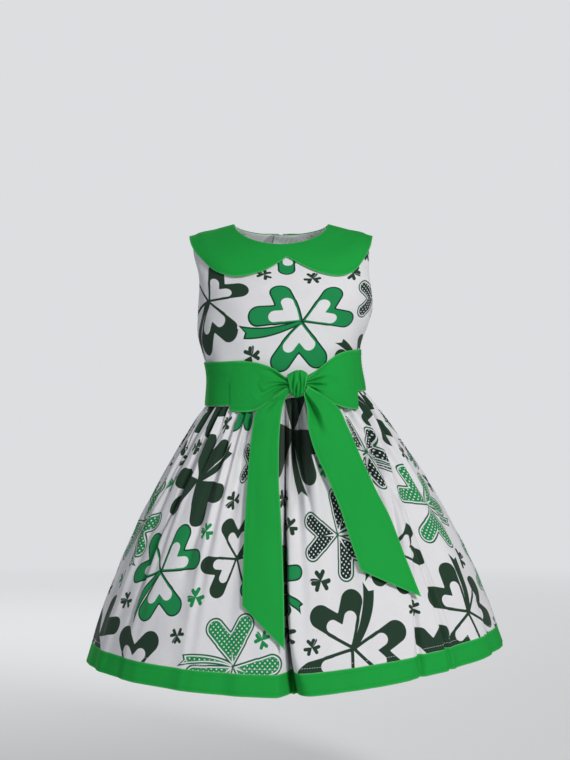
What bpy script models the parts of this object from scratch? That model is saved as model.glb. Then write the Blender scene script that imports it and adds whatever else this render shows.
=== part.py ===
"""A child's sleeveless dress: printed bodice and gathered skirt, round collar, hem band and tied sash.

Metres, +Z up, the front faces -Y. The origin is the middle of the neck opening, level with the
neck end of the shoulder seams. Left and right are the viewer's, from the front.
"""

import math
from collections import namedtuple

import bmesh
import bpy
import numpy as np
from mathutils import Matrix, Vector

# Cloth walls and the space left between pieces
WALL = 0.0012
DOUBLE_WALL = 0.0014
SEAM_GAP = 0.0004
LAY_GAP = 0.0005
COLLAR_GAP = 0.0015

# The body that wears the dress leans a little, and its skirt is hitched up on the right
WAIST_SHIFT = 0.0048
Lean = namedtuple("Lean", "z shift")
BODY_LEAN = (
    Lean(-0.260, 0.0048),
    Lean(-0.190, 0.0048),
    Lean(-0.155, 0.0020),
    Lean(-0.130, 0.0014),
    Lean(-0.100, 0.0050),
    Lean(-0.075, 0.0050),
    Lean(-0.055, 0.0028),
    Lean(-0.035, 0.0004),
    Lean(0.003, 0.0000),
)
HITCH = 0.0093
HITCH_REACH = 0.045
HITCH_FULL = 0.050
HITCH_FADE = 0.060

# Bodice sections, from the waist seam up over the shoulder to the neckline
Ring = namedtuple("Ring", "rise width front back side_z front_z back_z power")
BODICE_RINGS = (
    Ring(0.000, 0.0946, 0.0712, 0.0692, -0.2070, -0.2070, -0.2070, 2.50),
    Ring(0.048, 0.0926, 0.0706, 0.0688, -0.1590, -0.1590, -0.1590, 2.50),
    Ring(0.080, 0.1006, 0.0745, 0.0722, -0.1270, -0.1280, -0.1275, 2.50),
    Ring(0.108, 0.1044, 0.0760, 0.0745, -0.0990, -0.1030, -0.1010, 2.50),
    Ring(0.150, 0.1060, 0.0720, 0.0730, -0.0570, -0.0740, -0.0660, 2.50),
    Ring(0.194, 0.1015, 0.0630, 0.0630, -0.0130, -0.0480, -0.0340, 2.30),
    Ring(0.218, 0.0780, 0.0555, 0.0530, -0.0065, -0.0360, -0.0190, 2.15),
    Ring(0.243, 0.0540, 0.0480, 0.0430, 0.0000, -0.0261, -0.0080, 2.00),
)
WAIST = BODICE_RINGS[0]
NECK_RISE = 0.243
RIDGE_ROUND = 0.12
ANGLE_STEP = 0.004
RISE_STEP = 0.0005

# Armholes, as an oval cut out of those sections
ARMPIT_RISE = 0.107
ARMHOLE_TOP_RISE = 0.191
ARMHOLE_REACH = math.radians(24)
BODICE_COLUMNS = 16
BACK_COLUMNS = 9
SEAM_STRIP = 0.012
MIDDLE_FROM = 0.45
# Rows of a bodice panel under its armholes, with one behind the sash's upper edge
ROWS_BELOW = (0.0, 0.020, 0.036, 0.050, 0.078, ARMPIT_RISE)

# Centre back closing
BACK_OVERLAP = math.radians(8)
BACK_RAMP = math.radians(16)
BACK_LIFT_FROM = math.radians(9.7)
BACK_LIFT = WALL + LAY_GAP
BUTTON_RISES = (0.076, 0.116, 0.156)
BUTTON_RADIUS = 0.0055
# Share of the radius, and the height there: under side, edge, rim and hollow
BUTTON_PROFILE = (
    (0.00, 0.0000),
    (0.86, 0.0000),
    (1.00, 0.0010),
    (0.94, 0.0022),
    (0.84, 0.0024),
    (0.68, 0.0017),
    (0.00, 0.0014),
)
BUTTON_STEPS = 16

# Flat round collar, turned a little so that its notch is right of the middle
COLLAR_START_RISE = 0.2415
COLLAR_NOTCH = math.radians(86.5)
COLLAR_SPLIT = math.radians(2.2)
COLLAR_YOKE_RISE = 0.218
COLLAR_YOKE_WIDTH = 0.078
COLLAR_YOKE_Z = -0.0065
COLLAR_SPREAD = 0.96
COLLAR_SLOPE = 0.26
COLLAR_RUN_FROM = 0.78
COLLAR_SIDE_COLUMNS = 30
COLLAR_ROWS = 5
# Ring angle, and how far that is round from the notch: 90 at each side, 180 at the centre back
COLLAR_ANGLES = (-90.0, 0.0, math.degrees(COLLAR_NOTCH), 180.0, 270.0)
COLLAR_ROUND = (180.0, 90.0, 0.0, 90.0, 180.0)
# Rise of the collar's outer edge
Edge = namedtuple("Edge", "round rise")
COLLAR_EDGE = (
    Edge(0.0, 0.2050),
    Edge(6.0, 0.1920),
    Edge(13.0, 0.1780),
    Edge(23.0, 0.1660),
    Edge(32.0, 0.1610),
    Edge(44.0, 0.1650),
    Edge(58.0, 0.1785),
    Edge(72.0, 0.1845),
    Edge(90.0, 0.1855),
    Edge(112.0, 0.1850),
    Edge(145.0, 0.1870),
    Edge(163.0, 0.1890),
    Edge(172.0, 0.1960),
    Edge(178.0, 0.2140),
)

# Skirt: how far it stands out from the waist at the hem, and where the hem lies
SKIRT_RIGHT = 0.166
SKIRT_LEFT = 0.142
SKIRT_FRONT = 0.118
SKIRT_BACK = 0.108
HEM_POWER = 2.15
BELL = 0.45
HEM_MIDDLE_Z = -0.534
HEM_RIGHT_RISE = 0.036
HEM_LEFT_RISE = 0.0155
HEM_RIGHT_POWER = 1.4
HEM_LEFT_POWER = 1.7
BAND_SHARE = 0.076
BAND_GAP_SHARE = 0.0012
SIDE_SPREAD = 0.071

# Gathers: a count for each panel, and how deep they are down the skirt
GATHERS = 28
GATHER_SHAPE = (-1.0, -1.0, 1.0, 1.0)
Gather = namedtuple("Gather", "down depth")
GATHER_DEPTHS = (
    Gather(0.00, 0.0014),
    Gather(0.04, 0.0018),
    Gather(0.10, 0.0022),
    Gather(0.20, 0.0021),
    Gather(0.35, 0.0015),
    Gather(0.55, 0.0009),
    Gather(0.75, 0.0004),
    Gather(1.00, 0.0002),
)
SKIRT_ROWS = (0.0, 0.05, 0.13, 0.27, 0.47, 0.70)

# Large folds of the skirt: place across the panel at the waist and at the hem, depth at the hem,
# width on the steep and on the slow side, which side is steep, and where the fold starts
Fold = namedtuple("Fold", "top hem depth steep slow side start at_hem")
FRONT_FOLDS = (
    Fold(0.105, 0.110, 0.009, 0.016, 0.070, -1, 0.10, 0.30),
    Fold(0.205, 0.212, 0.012, 0.012, 0.060, -1, 0.10, 0.30),
    Fold(0.165, 0.292, 0.010, 0.012, 0.060, -1, 0.05, 0.30),
    Fold(0.400, 0.395, 0.006, 0.040, 0.050, -1, 0.15, 0.30),
    Fold(0.490, 0.494, 0.024, 0.012, 0.050, 1, 0.00, 1.00),
    Fold(0.605, 0.612, 0.008, 0.030, 0.050, 1, 0.05, 0.30),
    Fold(0.715, 0.712, 0.006, 0.035, 0.050, 1, 0.20, 0.30),
    Fold(0.812, 0.818, 0.010, 0.020, 0.070, 1, 0.05, 0.30),
    Fold(0.905, 0.900, 0.006, 0.030, 0.060, 1, 0.15, 0.30),
)
BACK_FOLDS = (
    Fold(0.095, 0.100, 0.009, 0.020, 0.060, -1, 0.12, 0.30),
    Fold(0.200, 0.190, 0.011, 0.014, 0.070, -1, 0.06, 0.30),
    Fold(0.305, 0.320, 0.008, 0.030, 0.060, -1, 0.15, 0.30),
    Fold(0.415, 0.410, 0.013, 0.014, 0.060, 1, 0.05, 0.70),
    Fold(0.520, 0.530, 0.009, 0.025, 0.060, -1, 0.10, 0.30),
    Fold(0.625, 0.640, 0.012, 0.014, 0.070, 1, 0.06, 0.30),
    Fold(0.735, 0.740, 0.008, 0.030, 0.050, 1, 0.15, 0.30),
    Fold(0.835, 0.850, 0.013, 0.014, 0.070, 1, 0.05, 0.50),
    Fold(0.920, 0.915, 0.006, 0.025, 0.050, 1, 0.20, 0.30),
)
FOLD_GROWTH = 0.55
FOLD_HEAD_START = 0.10
FOLD_DEPTH_HIGH = 0.35
FOLD_SEAM_FADE = 0.06
FOLD_HEM_FROM = 0.50
FOLD_HEM_FADE = 0.45

# Sash round the waist, drawn together behind the knot
SASH_LOW = 0.0004
SASH_HIGH = 0.0500
SASH_COLUMNS = 72
PINCH_DROP = 0.029
PINCH_RIGHT = 0.075
PINCH_LEFT = 0.062
PINCH_LIFT = 0.008
PINCH_LOW_REACH = 0.024
SASH_OUT = LAY_GAP + DOUBLE_WALL
SKIRT_OUT = 0.0023
FRONT_REACH = 0.98

# Knot of the bow: a wrap of cloth round the pinched ends of the loops
KNOT_X = 0.0192
KNOT_Z = -0.1895
KNOT_HEIGHT = 0.0161
KNOT_DEPTH = 0.0085
KNOT_TOP_HALF = 0.0122
KNOT_LOW_HALF = 0.0078
KNOT_BARREL = 0.20
KNOT_FOLDS = 4.5
KNOT_FOLD_START = 0.8
KNOT_FOLD_DEPTH = 0.0008
KNOT_ROUND = 16
KNOT_ALONG = 12

# Bow loops: share of the way out from the knot, and the edges there
Section = namedtuple("Section", "out x top low")
LEFT_LOOP = (
    Section(0.00, 0.0130, -0.1840, -0.1965),
    Section(0.10, 0.0055, -0.1815, -0.1960),
    Section(0.25, -0.0070, -0.1722, -0.2032),
    Section(0.45, -0.0220, -0.1662, -0.2140),
    Section(0.60, -0.0320, -0.1640, -0.2205),
    Section(0.80, -0.0460, -0.1629, -0.2220),
    Section(1.00, -0.0586, -0.1635, -0.2215),
)
RIGHT_LOOP = (
    Section(0.00, 0.0255, -0.1840, -0.1965),
    Section(0.10, 0.0330, -0.1808, -0.1906),
    Section(0.30, 0.0470, -0.1690, -0.1980),
    Section(0.50, 0.0610, -0.1580, -0.2100),
    Section(0.65, 0.0690, -0.1535, -0.2150),
    Section(0.80, 0.0790, -0.1505, -0.2175),
    Section(1.00, 0.0896, -0.1495, -0.2187),
)
LOOP_NEAR = 0.0012
LOOP_LIFT = 0.0042
LOOP_THICK_KNOT = 0.0052
LOOP_THICK_OUT = 0.0085
LOOP_STEPS = 24
LOOP_ACROSS = 6
LOOP_LIFT_REACH = 0.22
LOOP_PLEATS = 3.0
LOOP_PLEAT_DEPTH = 0.0012
PLEAT_START = 0.15
PLEAT_FADE_FROM = 0.30
PLEAT_FADE = 0.35

# Sash tails: share of the way down, the left and right edge there, and the distance off the skirt
Tail = namedtuple("Tail", "down left_x left_z right_x right_z off")
LEFT_TAIL = (
    Tail(0.000, 0.0030, -0.1973, 0.0106, -0.2050, 0.0076),
    Tail(0.143, -0.0118, -0.2090, 0.0056, -0.2118, 0.0068),
    Tail(0.286, -0.0282, -0.2212, 0.0012, -0.2236, 0.0048),
    Tail(0.429, -0.0325, -0.2375, -0.0016, -0.2480, 0.0036),
    Tail(0.571, -0.0368, -0.2784, -0.0022, -0.2938, 0.0030),
    Tail(0.714, -0.0403, -0.3349, 0.0005, -0.3423, 0.0030),
    Tail(0.857, -0.0424, -0.3968, 0.0034, -0.4158, 0.0030),
    Tail(1.000, -0.0426, -0.4354, 0.0044, -0.4819, 0.0030),
)
RIGHT_TAIL = (
    Tail(0.000, 0.0278, -0.2000, 0.0326, -0.1925, 0.0078),
    Tail(0.143, 0.0298, -0.2182, 0.0622, -0.2142, 0.0068),
    Tail(0.286, 0.0312, -0.2390, 0.0772, -0.2390, 0.0048),
    Tail(0.429, 0.0390, -0.2665, 0.0930, -0.2747, 0.0036),
    Tail(0.571, 0.0536, -0.2975, 0.1096, -0.3112, 0.0030),
    Tail(0.714, 0.0669, -0.3300, 0.1252, -0.3420, 0.0030),
    Tail(0.857, 0.0783, -0.3654, 0.1405, -0.3830, 0.0030),
    Tail(1.000, 0.0897, -0.3976, 0.1583, -0.4283, 0.0030),
)
TAIL_STEPS = 22
TAIL_ACROSS = 4
TAIL_CROWN = 0.0012

COLLECTION = "childs_party_dress"
COLOURS = {
    "print": (0.82, 0.84, 0.82, 1.0),
    "green": (0.010, 0.330, 0.050, 1.0),
    "button": (0.85, 0.86, 0.84, 1.0),
}
ROUGHNESS = {"print": 0.85, "green": 0.80, "button": 0.35}


def clear_scene():
    for old in list(bpy.data.objects):
        bpy.data.objects.remove(old, do_unlink=True)


def smooth(value):
    value = np.clip(value, 0.0, 1.0)
    return value * value * (3.0 - 2.0 * value)


def curve(x, table, column):
    """A smooth curve through one named column of a table whose first column rises."""
    knots = np.array([row[0] for row in table])
    values = np.array([getattr(row, column) for row in table])
    slopes = np.gradient(values, knots)
    place = np.clip(np.searchsorted(knots, x, side="right") - 1, 0, len(knots) - 2)
    span = knots[place + 1] - knots[place]
    t = np.clip((x - knots[place]) / span, 0.0, 1.0)
    low = (1 + 2 * t) * (1 - t) ** 2 * values[place] + t * (1 - t) ** 2 * span * slopes[place]
    high = t * t * (3 - 2 * t) * values[place + 1] - t * t * (1 - t) * span * slopes[place + 1]
    return low + high


def ring(angle, right, left, front, back, power):
    """A rounded oval: angle 0 is the right side, a quarter turn is the front."""
    c = np.cos(angle)
    s = np.sin(angle)
    scale = (np.abs(c) ** power + np.abs(s) ** power) ** (-1.0 / power)
    x = np.where(c > 0, right, left) * c * scale
    y = -np.where(s > 0, front, back) * s * scale
    return x, y


def panel_angle(across, is_front):
    """Across a panel from the right seam to the left seam, evenly spaced along the cloth."""
    turn = math.pi * across + SIDE_SPREAD * np.sin(2 * math.pi * across)
    return turn if is_front else -turn


def lean(z):
    return curve(z, BODY_LEAN, "shift")


def hitch(x):
    return HITCH * np.tanh(x / HITCH_REACH)


def ridge_fall(share):
    """From 0 on the shoulder ridge to 1 at the front or back, level where it crosses the ridge."""
    full = math.hypot(1.0, RIDGE_ROUND) - RIDGE_ROUND
    return (np.hypot(share, RIDGE_ROUND) - RIDGE_ROUND) / full


def torso_base(angle, rise, run_on):
    width, front, back, side_z, front_z, back_z, power = (
        curve(rise, BODICE_RINGS, column) for column in Ring._fields[1:]
    )
    if run_on:
        below = COLLAR_YOKE_RISE - rise
        near = smooth((np.abs(np.cos(angle)) - COLLAR_RUN_FROM) / (1.0 - COLLAR_RUN_FROM))
        further = COLLAR_YOKE_WIDTH + COLLAR_SPREAD * below - width
        higher = COLLAR_YOKE_Z - COLLAR_SLOPE * below - side_z
        width = width + near * np.maximum(further, 0.0)
        side_z = side_z + near * np.maximum(higher, 0.0)
    x, y = ring(angle, width, width, front, back, power)
    depth = np.where(y < 0, front, back)
    end_z = np.where(y < 0, front_z, back_z)
    z = side_z + (end_z - side_z) * ridge_fall(np.abs(y) / depth)
    z = z + hitch(x) * (1.0 - smooth((rise - HITCH_FULL) / HITCH_FADE))
    return np.stack([x + lean(z), y, z], axis=-1)


def normals_of(surface, first, second, step):
    """Outward unit normals of a surface of two variables, from small steps in each."""
    along_first = surface(first + step[0], second) - surface(first - step[0], second)
    along_second = surface(first, second + step[1]) - surface(first, second - step[1])
    normal = np.cross(along_first, along_second)
    return normal / np.linalg.norm(normal, axis=-1, keepdims=True)


def torso(angle, rise, out=0.0, run_on=False):
    """Points of the bodice's outer side, moved out by a distance."""

    def base(a, r):
        return torso_base(a, r, run_on)

    inner_rise = np.clip(rise, RISE_STEP, NECK_RISE - RISE_STEP)
    normal = -normals_of(base, angle, inner_rise, (ANGLE_STEP, RISE_STEP))
    return base(angle, rise) + normal * np.asarray(out)[..., None]


def skirt_sizes(down):
    flare = (1.0 + BELL) * down - BELL * down * down
    right = WAIST.width + SKIRT_RIGHT * flare
    left = WAIST.width + SKIRT_LEFT * flare
    front = WAIST.front + SKIRT_FRONT * flare
    back = WAIST.back + SKIRT_BACK * flare
    power = WAIST.power + (HEM_POWER - WAIST.power) * flare
    return right, left, front, back, power


def waist_z(x):
    return WAIST.side_z - SEAM_GAP + hitch(x)


def hem_z(side):
    """Height of the hem where the cloth is this share of the way to the side, left below zero."""
    reach = np.abs(side)
    right = HEM_RIGHT_RISE * reach**HEM_RIGHT_POWER
    left = HEM_LEFT_RISE * reach**HEM_LEFT_POWER
    return HEM_MIDDLE_Z + np.where(side > 0, right, left)


def fold_depth(across, down, folds):
    """How far the large folds draw the cloth in: steep on one side of each line, slow on the other."""
    depth = np.zeros(np.broadcast(across, down).shape)
    for fold in folds:
        away = (across - (fold.top + (fold.hem - fold.top) * down)) * fold.side
        slow_side = 1.0 - smooth(away / fold.slow)
        steep_side = 1.0 - smooth(-away / fold.steep)
        shape = np.where(away > 0, slow_side, steep_side)
        grow = smooth((down - fold.start) / FOLD_GROWTH + FOLD_HEAD_START)
        grow = grow * (FOLD_DEPTH_HIGH + (1.0 - FOLD_DEPTH_HIGH) * down)
        grow = grow * (1.0 - (1.0 - fold.at_hem) * smooth((down - FOLD_HEM_FROM) / FOLD_HEM_FADE))
        depth += fold.depth * grow * shape
    return depth * smooth(down / FOLD_SEAM_FADE)


def skirt(across, down, is_front, gather):
    """Points of the skirt's outer side."""
    angle = panel_angle(across, is_front)
    right, left, front, back, power = skirt_sizes(down)
    x, y = ring(angle, right, left, front, back, power)
    x_next, y_next = ring(angle + 0.01, right, left, front, back, power)
    normal = np.stack([-(y_next - y), x_next - x], axis=-1)
    normal /= np.linalg.norm(normal, axis=-1, keepdims=True)
    folds = FRONT_FOLDS if is_front else BACK_FOLDS
    move = gather * curve(down, GATHER_DEPTHS, "depth") - fold_depth(across, down, folds)
    side = x / np.where(x > 0, right, left)
    waist_x, _ = ring(angle, WAIST.width, WAIST.width, WAIST.front, WAIST.back, WAIST.power)
    z = waist_z(waist_x) + (hem_z(side) - waist_z(waist_x)) * down
    seam = -SEAM_GAP / 2 if is_front else SEAM_GAP / 2
    return np.stack(
        [x + normal[..., 0] * move + WAIST_SHIFT, y + normal[..., 1] * move + seam, z], axis=-1
    )


def front_y(x, z):
    """Depth of the outermost cloth at the front, sash above the waist seam and skirt below it."""
    x = x - WAIST_SHIFT
    seam = waist_z(x)
    down = np.clip((seam - z) / (seam - HEM_MIDDLE_Z), 0.0, 1.0)
    for _ in range(3):
        right, left, front, _, power = skirt_sizes(down)
        width = np.where(x > 0, right, left)
        side = np.clip(x / width, -FRONT_REACH, FRONT_REACH)
        down = np.clip((seam - z) / (seam - hem_z(side)), 0.0, 1.0)
    below = front * (1.0 - np.abs(side) ** power) ** (1.0 / power) + SKIRT_OUT
    rise = np.clip(z - seam, 0.0, SASH_HIGH)
    width, front, power = (
        curve(rise, BODICE_RINGS, column) for column in ("width", "front", "power")
    )
    side = np.clip(np.abs(x) / width, 0.0, FRONT_REACH)
    above = front * (1.0 - side**power) ** (1.0 / power) + SASH_OUT
    return -np.where(z > seam, above, np.maximum(below, above))


def new_object(name, mesh, slot):
    made = bpy.data.objects.new(name, mesh)
    bpy.data.collections[COLLECTION].objects.link(made)
    mesh.materials.append(bpy.data.materials[slot])
    return made


def sheet_of(name, points, slot, wall, closed=False):
    """A cloth wall: a grid laid over a table of points, welded where it closes, with Solidify."""
    rows, columns = points.shape[:2]
    bm = bmesh.new()
    bmesh.ops.create_grid(bm, x_segments=columns - 1, y_segments=rows - 1, size=0.5)
    bm.verts.ensure_lookup_table()
    for vert in bm.verts:
        column = round((vert.co.x + 0.5) * (columns - 1))
        row = round((vert.co.y + 0.5) * (rows - 1))
        vert.co = Vector(points[row, column])
    if closed:
        bmesh.ops.remove_doubles(bm, verts=bm.verts, dist=1e-6)
    bmesh.ops.recalc_face_normals(bm, faces=bm.faces)
    mesh = bpy.data.meshes.new(name)
    bm.to_mesh(mesh)
    bm.free()
    mesh.shade_smooth()
    made = new_object(name, mesh, slot)
    modifier = made.modifiers.new("wall", "SOLIDIFY")
    modifier.thickness = wall
    modifier.offset = -1.0
    return made


def face_outwards(made, inside):
    """Turns an open sheet's faces away from a point that lies on its inner side."""
    mesh = made.data
    total = 0.0
    for polygon in mesh.polygons:
        total += polygon.area * (polygon.center - Vector(inside)).dot(polygon.normal)
    if total < 0:
        mesh.flip_normals()


def armhole_angle(rise):
    middle = (ARMPIT_RISE + ARMHOLE_TOP_RISE) / 2
    half = (ARMHOLE_TOP_RISE - ARMPIT_RISE) / 2
    inside = 1.0 - ((rise - middle) / half) ** 2
    return ARMHOLE_REACH * math.sqrt(max(inside, 0.0))


def bodice_rises():
    """Rows of the bodice: the rise at the side seam and armhole, and at the middle of the panel."""
    below = np.array(ROWS_BELOW)
    turn = np.linspace(0.0, math.pi, 9)[1:]
    middle = (ARMPIT_RISE + ARMHOLE_TOP_RISE) / 2
    half = (ARMHOLE_TOP_RISE - ARMPIT_RISE) / 2
    above = np.linspace(ARMHOLE_TOP_RISE, NECK_RISE, 4)[1:]
    at_side = np.concatenate([below, middle - half * np.cos(turn), above])
    at_middle = np.concatenate([below, ARMPIT_RISE + 2 * half * turn / math.pi, above])
    return list(zip(at_side, at_middle))


def bodice_panel(name, start, end, columns, lift):
    """A bodice panel between two angles, or an armhole edge where that comes first."""
    rows = []
    shares = np.sort(np.append(np.linspace(0.0, 1.0, columns + 1), (SEAM_STRIP, 1 - SEAM_STRIP)))
    for side_rise, middle_rise in bodice_rises():
        hole = armhole_angle(side_rise)
        first = math.copysign(max(abs(start), hole), end) if start == 0 else start
        last = end
        if abs(abs(end) - math.pi) < 1e-6:
            last = math.copysign(math.pi - hole, end)
        angle = first + (last - first) * shares
        inside = smooth((1.0 - np.abs(np.cos(angle))) / MIDDLE_FROM)
        rise = side_rise + (middle_rise - side_rise) * inside
        rows.append(torso(angle, rise, lift(angle)))
    points = np.array(rows)
    points[..., 1] += SEAM_GAP / 2 if end < 0 else -SEAM_GAP / 2
    made = sheet_of(name, points, "print", WALL)
    face_outwards(made, (0.0, 0.0, -0.12))
    return made


def no_lift(angle):
    return np.zeros_like(angle)


def back_lift(angle):
    """The left back laps over the right one, so it stands out from just before the middle."""
    away = np.abs(np.abs(angle) - math.pi / 2)
    return BACK_LIFT * (1.0 - smooth((away - BACK_LIFT_FROM) / BACK_RAMP))


def build_bodice():
    middle = -math.pi / 2
    bodice_panel("bodice_front", 0, math.pi, BODICE_COLUMNS, no_lift)
    bodice_panel("bodice_back_right", 0, middle - BACK_OVERLAP, BACK_COLUMNS, no_lift)
    bodice_panel("bodice_back_left", middle + BACK_OVERLAP, -math.pi, BACK_COLUMNS, back_lift)


def collar_edge_rise(angle):
    """Rise of the collar's outer edge, which falls from the front notch to each lobe."""
    away = np.interp(np.degrees(angle), COLLAR_ANGLES, COLLAR_ROUND)
    return curve(away, COLLAR_EDGE, "rise")


def build_collar():
    start = -math.pi / 2 + COLLAR_SPLIT
    end = 1.5 * math.pi - COLLAR_SPLIT
    right = np.linspace(start, COLLAR_NOTCH, COLLAR_SIDE_COLUMNS + 1)
    left = np.linspace(COLLAR_NOTCH, end, COLLAR_SIDE_COLUMNS + 1)
    angle = np.concatenate([right, left[1:]])
    edge = collar_edge_rise(angle)
    rows = []
    for share in np.linspace(0.0, 1.0, COLLAR_ROWS + 1):
        rise = COLLAR_START_RISE + (edge - COLLAR_START_RISE) * share
        turn = np.where(angle > math.pi, angle - 2 * math.pi, angle)
        out = COLLAR_GAP + DOUBLE_WALL + back_lift(np.where(turn < 0, turn, 0.0))
        rows.append(torso(turn, rise, out, run_on=True))
    made = sheet_of("collar", np.array(rows), "green", DOUBLE_WALL)
    face_outwards(made, (0.0, 0.0, -0.12))


def build_skirt(name, is_front):
    columns = GATHERS * len(GATHER_SHAPE)
    across = np.arange(columns + 1) / columns
    gather = np.array([GATHER_SHAPE[i % len(GATHER_SHAPE)] for i in range(columns + 1)])
    band_top = 1.0 - BAND_SHARE
    rows = []
    for down in SKIRT_ROWS + (band_top - BAND_GAP_SHARE,):
        rows.append(skirt(across, np.full_like(across, down), is_front, gather))
    made = sheet_of("skirt_" + name, np.array(rows), "print", WALL)
    face_outwards(made, (0.0, 0.0, -0.35))
    rows = []
    for down in (band_top, 1.0):
        rows.append(skirt(across, np.full_like(across, down), is_front, gather))
    made = sheet_of("hem_band_" + name, np.array(rows), "green", DOUBLE_WALL)
    face_outwards(made, (0.0, 0.0, -0.45))


def sash_edges(angle):
    """Rise of the sash's lower and upper edge, drawn in towards the knot at the front."""
    x = torso_base(angle, np.full_like(angle, SASH_HIGH / 2), False)[..., 0] - KNOT_X
    at_front = (angle > 0) & (angle < math.pi)
    reach = np.where(x > 0, PINCH_RIGHT, PINCH_LEFT)
    high = SASH_HIGH - np.where(at_front, PINCH_DROP * (1.0 - smooth(np.abs(x) / reach)), 0.0)
    near = 1.0 - smooth(np.abs(x) / PINCH_LOW_REACH)
    low = SASH_LOW + np.where(at_front, PINCH_LIFT * near, 0.0)
    return low, high


def build_sash():
    angle = np.linspace(0.0, 2 * math.pi, SASH_COLUMNS + 1)
    low, high = sash_edges(angle)
    turn = np.where(angle > math.pi, angle - 2 * math.pi, angle)
    out = SASH_OUT + back_lift(np.where(turn < 0, turn, 0.0))
    rows = []
    for share in (0.0, 0.5, 1.0):
        rows.append(torso(turn, low + (high - low) * share, out))
    made = sheet_of("sash_band", np.array(rows), "green", DOUBLE_WALL, closed=True)
    face_outwards(made, (WAIST_SHIFT, 0.0, -0.18))


def build_knot():
    """A tube of cloth with its axis across the waist, pinched at its ends and lower down."""
    turn = np.linspace(0.0, 2 * math.pi, KNOT_ROUND + 1)
    back = front_y(KNOT_X, KNOT_Z) - LAY_GAP
    middle = back - KNOT_DEPTH
    rows = []
    for along in np.linspace(-1.0, 1.0, KNOT_ALONG + 1):
        size = 1.0 - KNOT_BARREL * along * along
        phase = KNOT_FOLDS * math.pi * along + KNOT_FOLD_START
        ridge = KNOT_FOLD_DEPTH * np.cos(phase) * np.sin(turn) ** 2
        ridge = np.where(np.cos(turn) < 0, ridge, 0.0)
        y = middle + (KNOT_DEPTH * size + ridge) * np.cos(turn)
        z = KNOT_Z + (KNOT_HEIGHT * size) * np.sin(turn)
        high = (np.sin(turn) + 1.0) / 2
        half = KNOT_LOW_HALF + (KNOT_TOP_HALF - KNOT_LOW_HALF) * high
        rows.append(np.stack([KNOT_X + along * half, y, z], axis=-1))
    made = sheet_of("bow_knot", np.array(rows), "green", DOUBLE_WALL, closed=True)
    face_outwards(made, (KNOT_X, middle, KNOT_Z))


def build_loop(name, table):
    """A ribbon that leaves the knot close to the sash, turns round at its outer end and comes back."""
    rows = []
    for across in np.linspace(0.0, 1.0, LOOP_ACROSS + 1):
        step = np.linspace(0.0, 1.0, LOOP_STEPS + 1)
        out = (1.0 - np.cos(2 * math.pi * step)) / 2
        is_front = step > 0.5
        x = curve(out, table, "x")
        top = curve(out, table, "top")
        low = curve(out, table, "low")
        z = top + (low - top) * across
        thick = LOOP_THICK_KNOT + (LOOP_THICK_OUT - LOOP_THICK_KNOT) * out
        thick = thick * np.sqrt(np.maximum(1.0 - out**4, 0.0))
        near = LOOP_NEAR + DOUBLE_WALL + LOOP_LIFT * (1.0 - smooth(out / LOOP_LIFT_REACH))
        pleat = LOOP_PLEAT_DEPTH * np.cos(2 * math.pi * LOOP_PLEATS * across)
        pleat = pleat * smooth(out / PLEAT_START)
        pleat = pleat * (1.0 - smooth((out - PLEAT_FADE_FROM) / PLEAT_FADE))
        off = near + np.where(is_front, thick + pleat, 0.0)
        rows.append(np.stack([x, front_y(x, z) - off, z], axis=-1))
    points = np.array(rows)
    made = sheet_of(name, points, "green", DOUBLE_WALL)
    middle = points[:, LOOP_STEPS // 4, :].mean(axis=0) + points[:, -LOOP_STEPS // 4, :].mean(axis=0)
    face_outwards(made, middle / 2)


def build_tail(name, table):
    """A free end of the sash, which lies on the skirt down to its slanted cut."""
    rows = []
    across = np.linspace(0.0, 1.0, TAIL_ACROSS + 1)
    for down in np.linspace(0.0, 1.0, TAIL_STEPS + 1):
        left_x, left_z, right_x, right_z, off = (
            float(curve(np.array(down), table, column)) for column in Tail._fields[1:]
        )
        x = left_x + (right_x - left_x) * across
        z = left_z + (right_z - left_z) * across
        crown = TAIL_CROWN * np.sin(math.pi * across)
        rows.append(np.stack([x, front_y(x, z) - off - crown, z], axis=-1))
    made = sheet_of(name, np.array(rows), "green", DOUBLE_WALL)
    face_outwards(made, (0.0, 0.0, -0.30))


def button_profile():
    """Half section of a button, from the axis under it round the rim to the axis on top."""
    return [(share * BUTTON_RADIUS, height) for share, height in BUTTON_PROFILE]


def build_button(name, rise):
    mesh = bpy.data.meshes.new(name)
    bm = bmesh.new()
    verts = [bm.verts.new((x, 0.0, z)) for x, z in reversed(button_profile())]
    for first, second in zip(verts, verts[1:]):
        bm.edges.new((first, second))
    bm.to_mesh(mesh)
    bm.free()
    made = new_object(name, mesh, "button")
    screw = made.modifiers.new("turn", "SCREW")
    screw.steps = BUTTON_STEPS
    screw.render_steps = BUTTON_STEPS
    screw.use_merge_vertices = True
    screw.merge_threshold = 0.00001
    angle = np.array([-math.pi / 2])
    height = np.array([rise])
    under = torso(angle, height)[0]
    seat = torso(angle, height, np.array([BACK_LIFT + LAY_GAP]))[0]
    turn = Vector((0, 0, 1)).rotation_difference(Vector(seat - under))
    made.matrix_world = Matrix.Translation(Vector(seat)) @ turn.to_matrix().to_4x4()


def make_materials():
    for name, colour in COLOURS.items():
        material = bpy.data.materials.new(name)
        material.use_nodes = True
        shader = material.node_tree.nodes["Principled BSDF"]
        shader.inputs["Base Color"].default_value = colour
        shader.inputs["Roughness"].default_value = ROUGHNESS[name]
        shader.inputs["Metallic"].default_value = 0.0
        material.diffuse_color = colour


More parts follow.
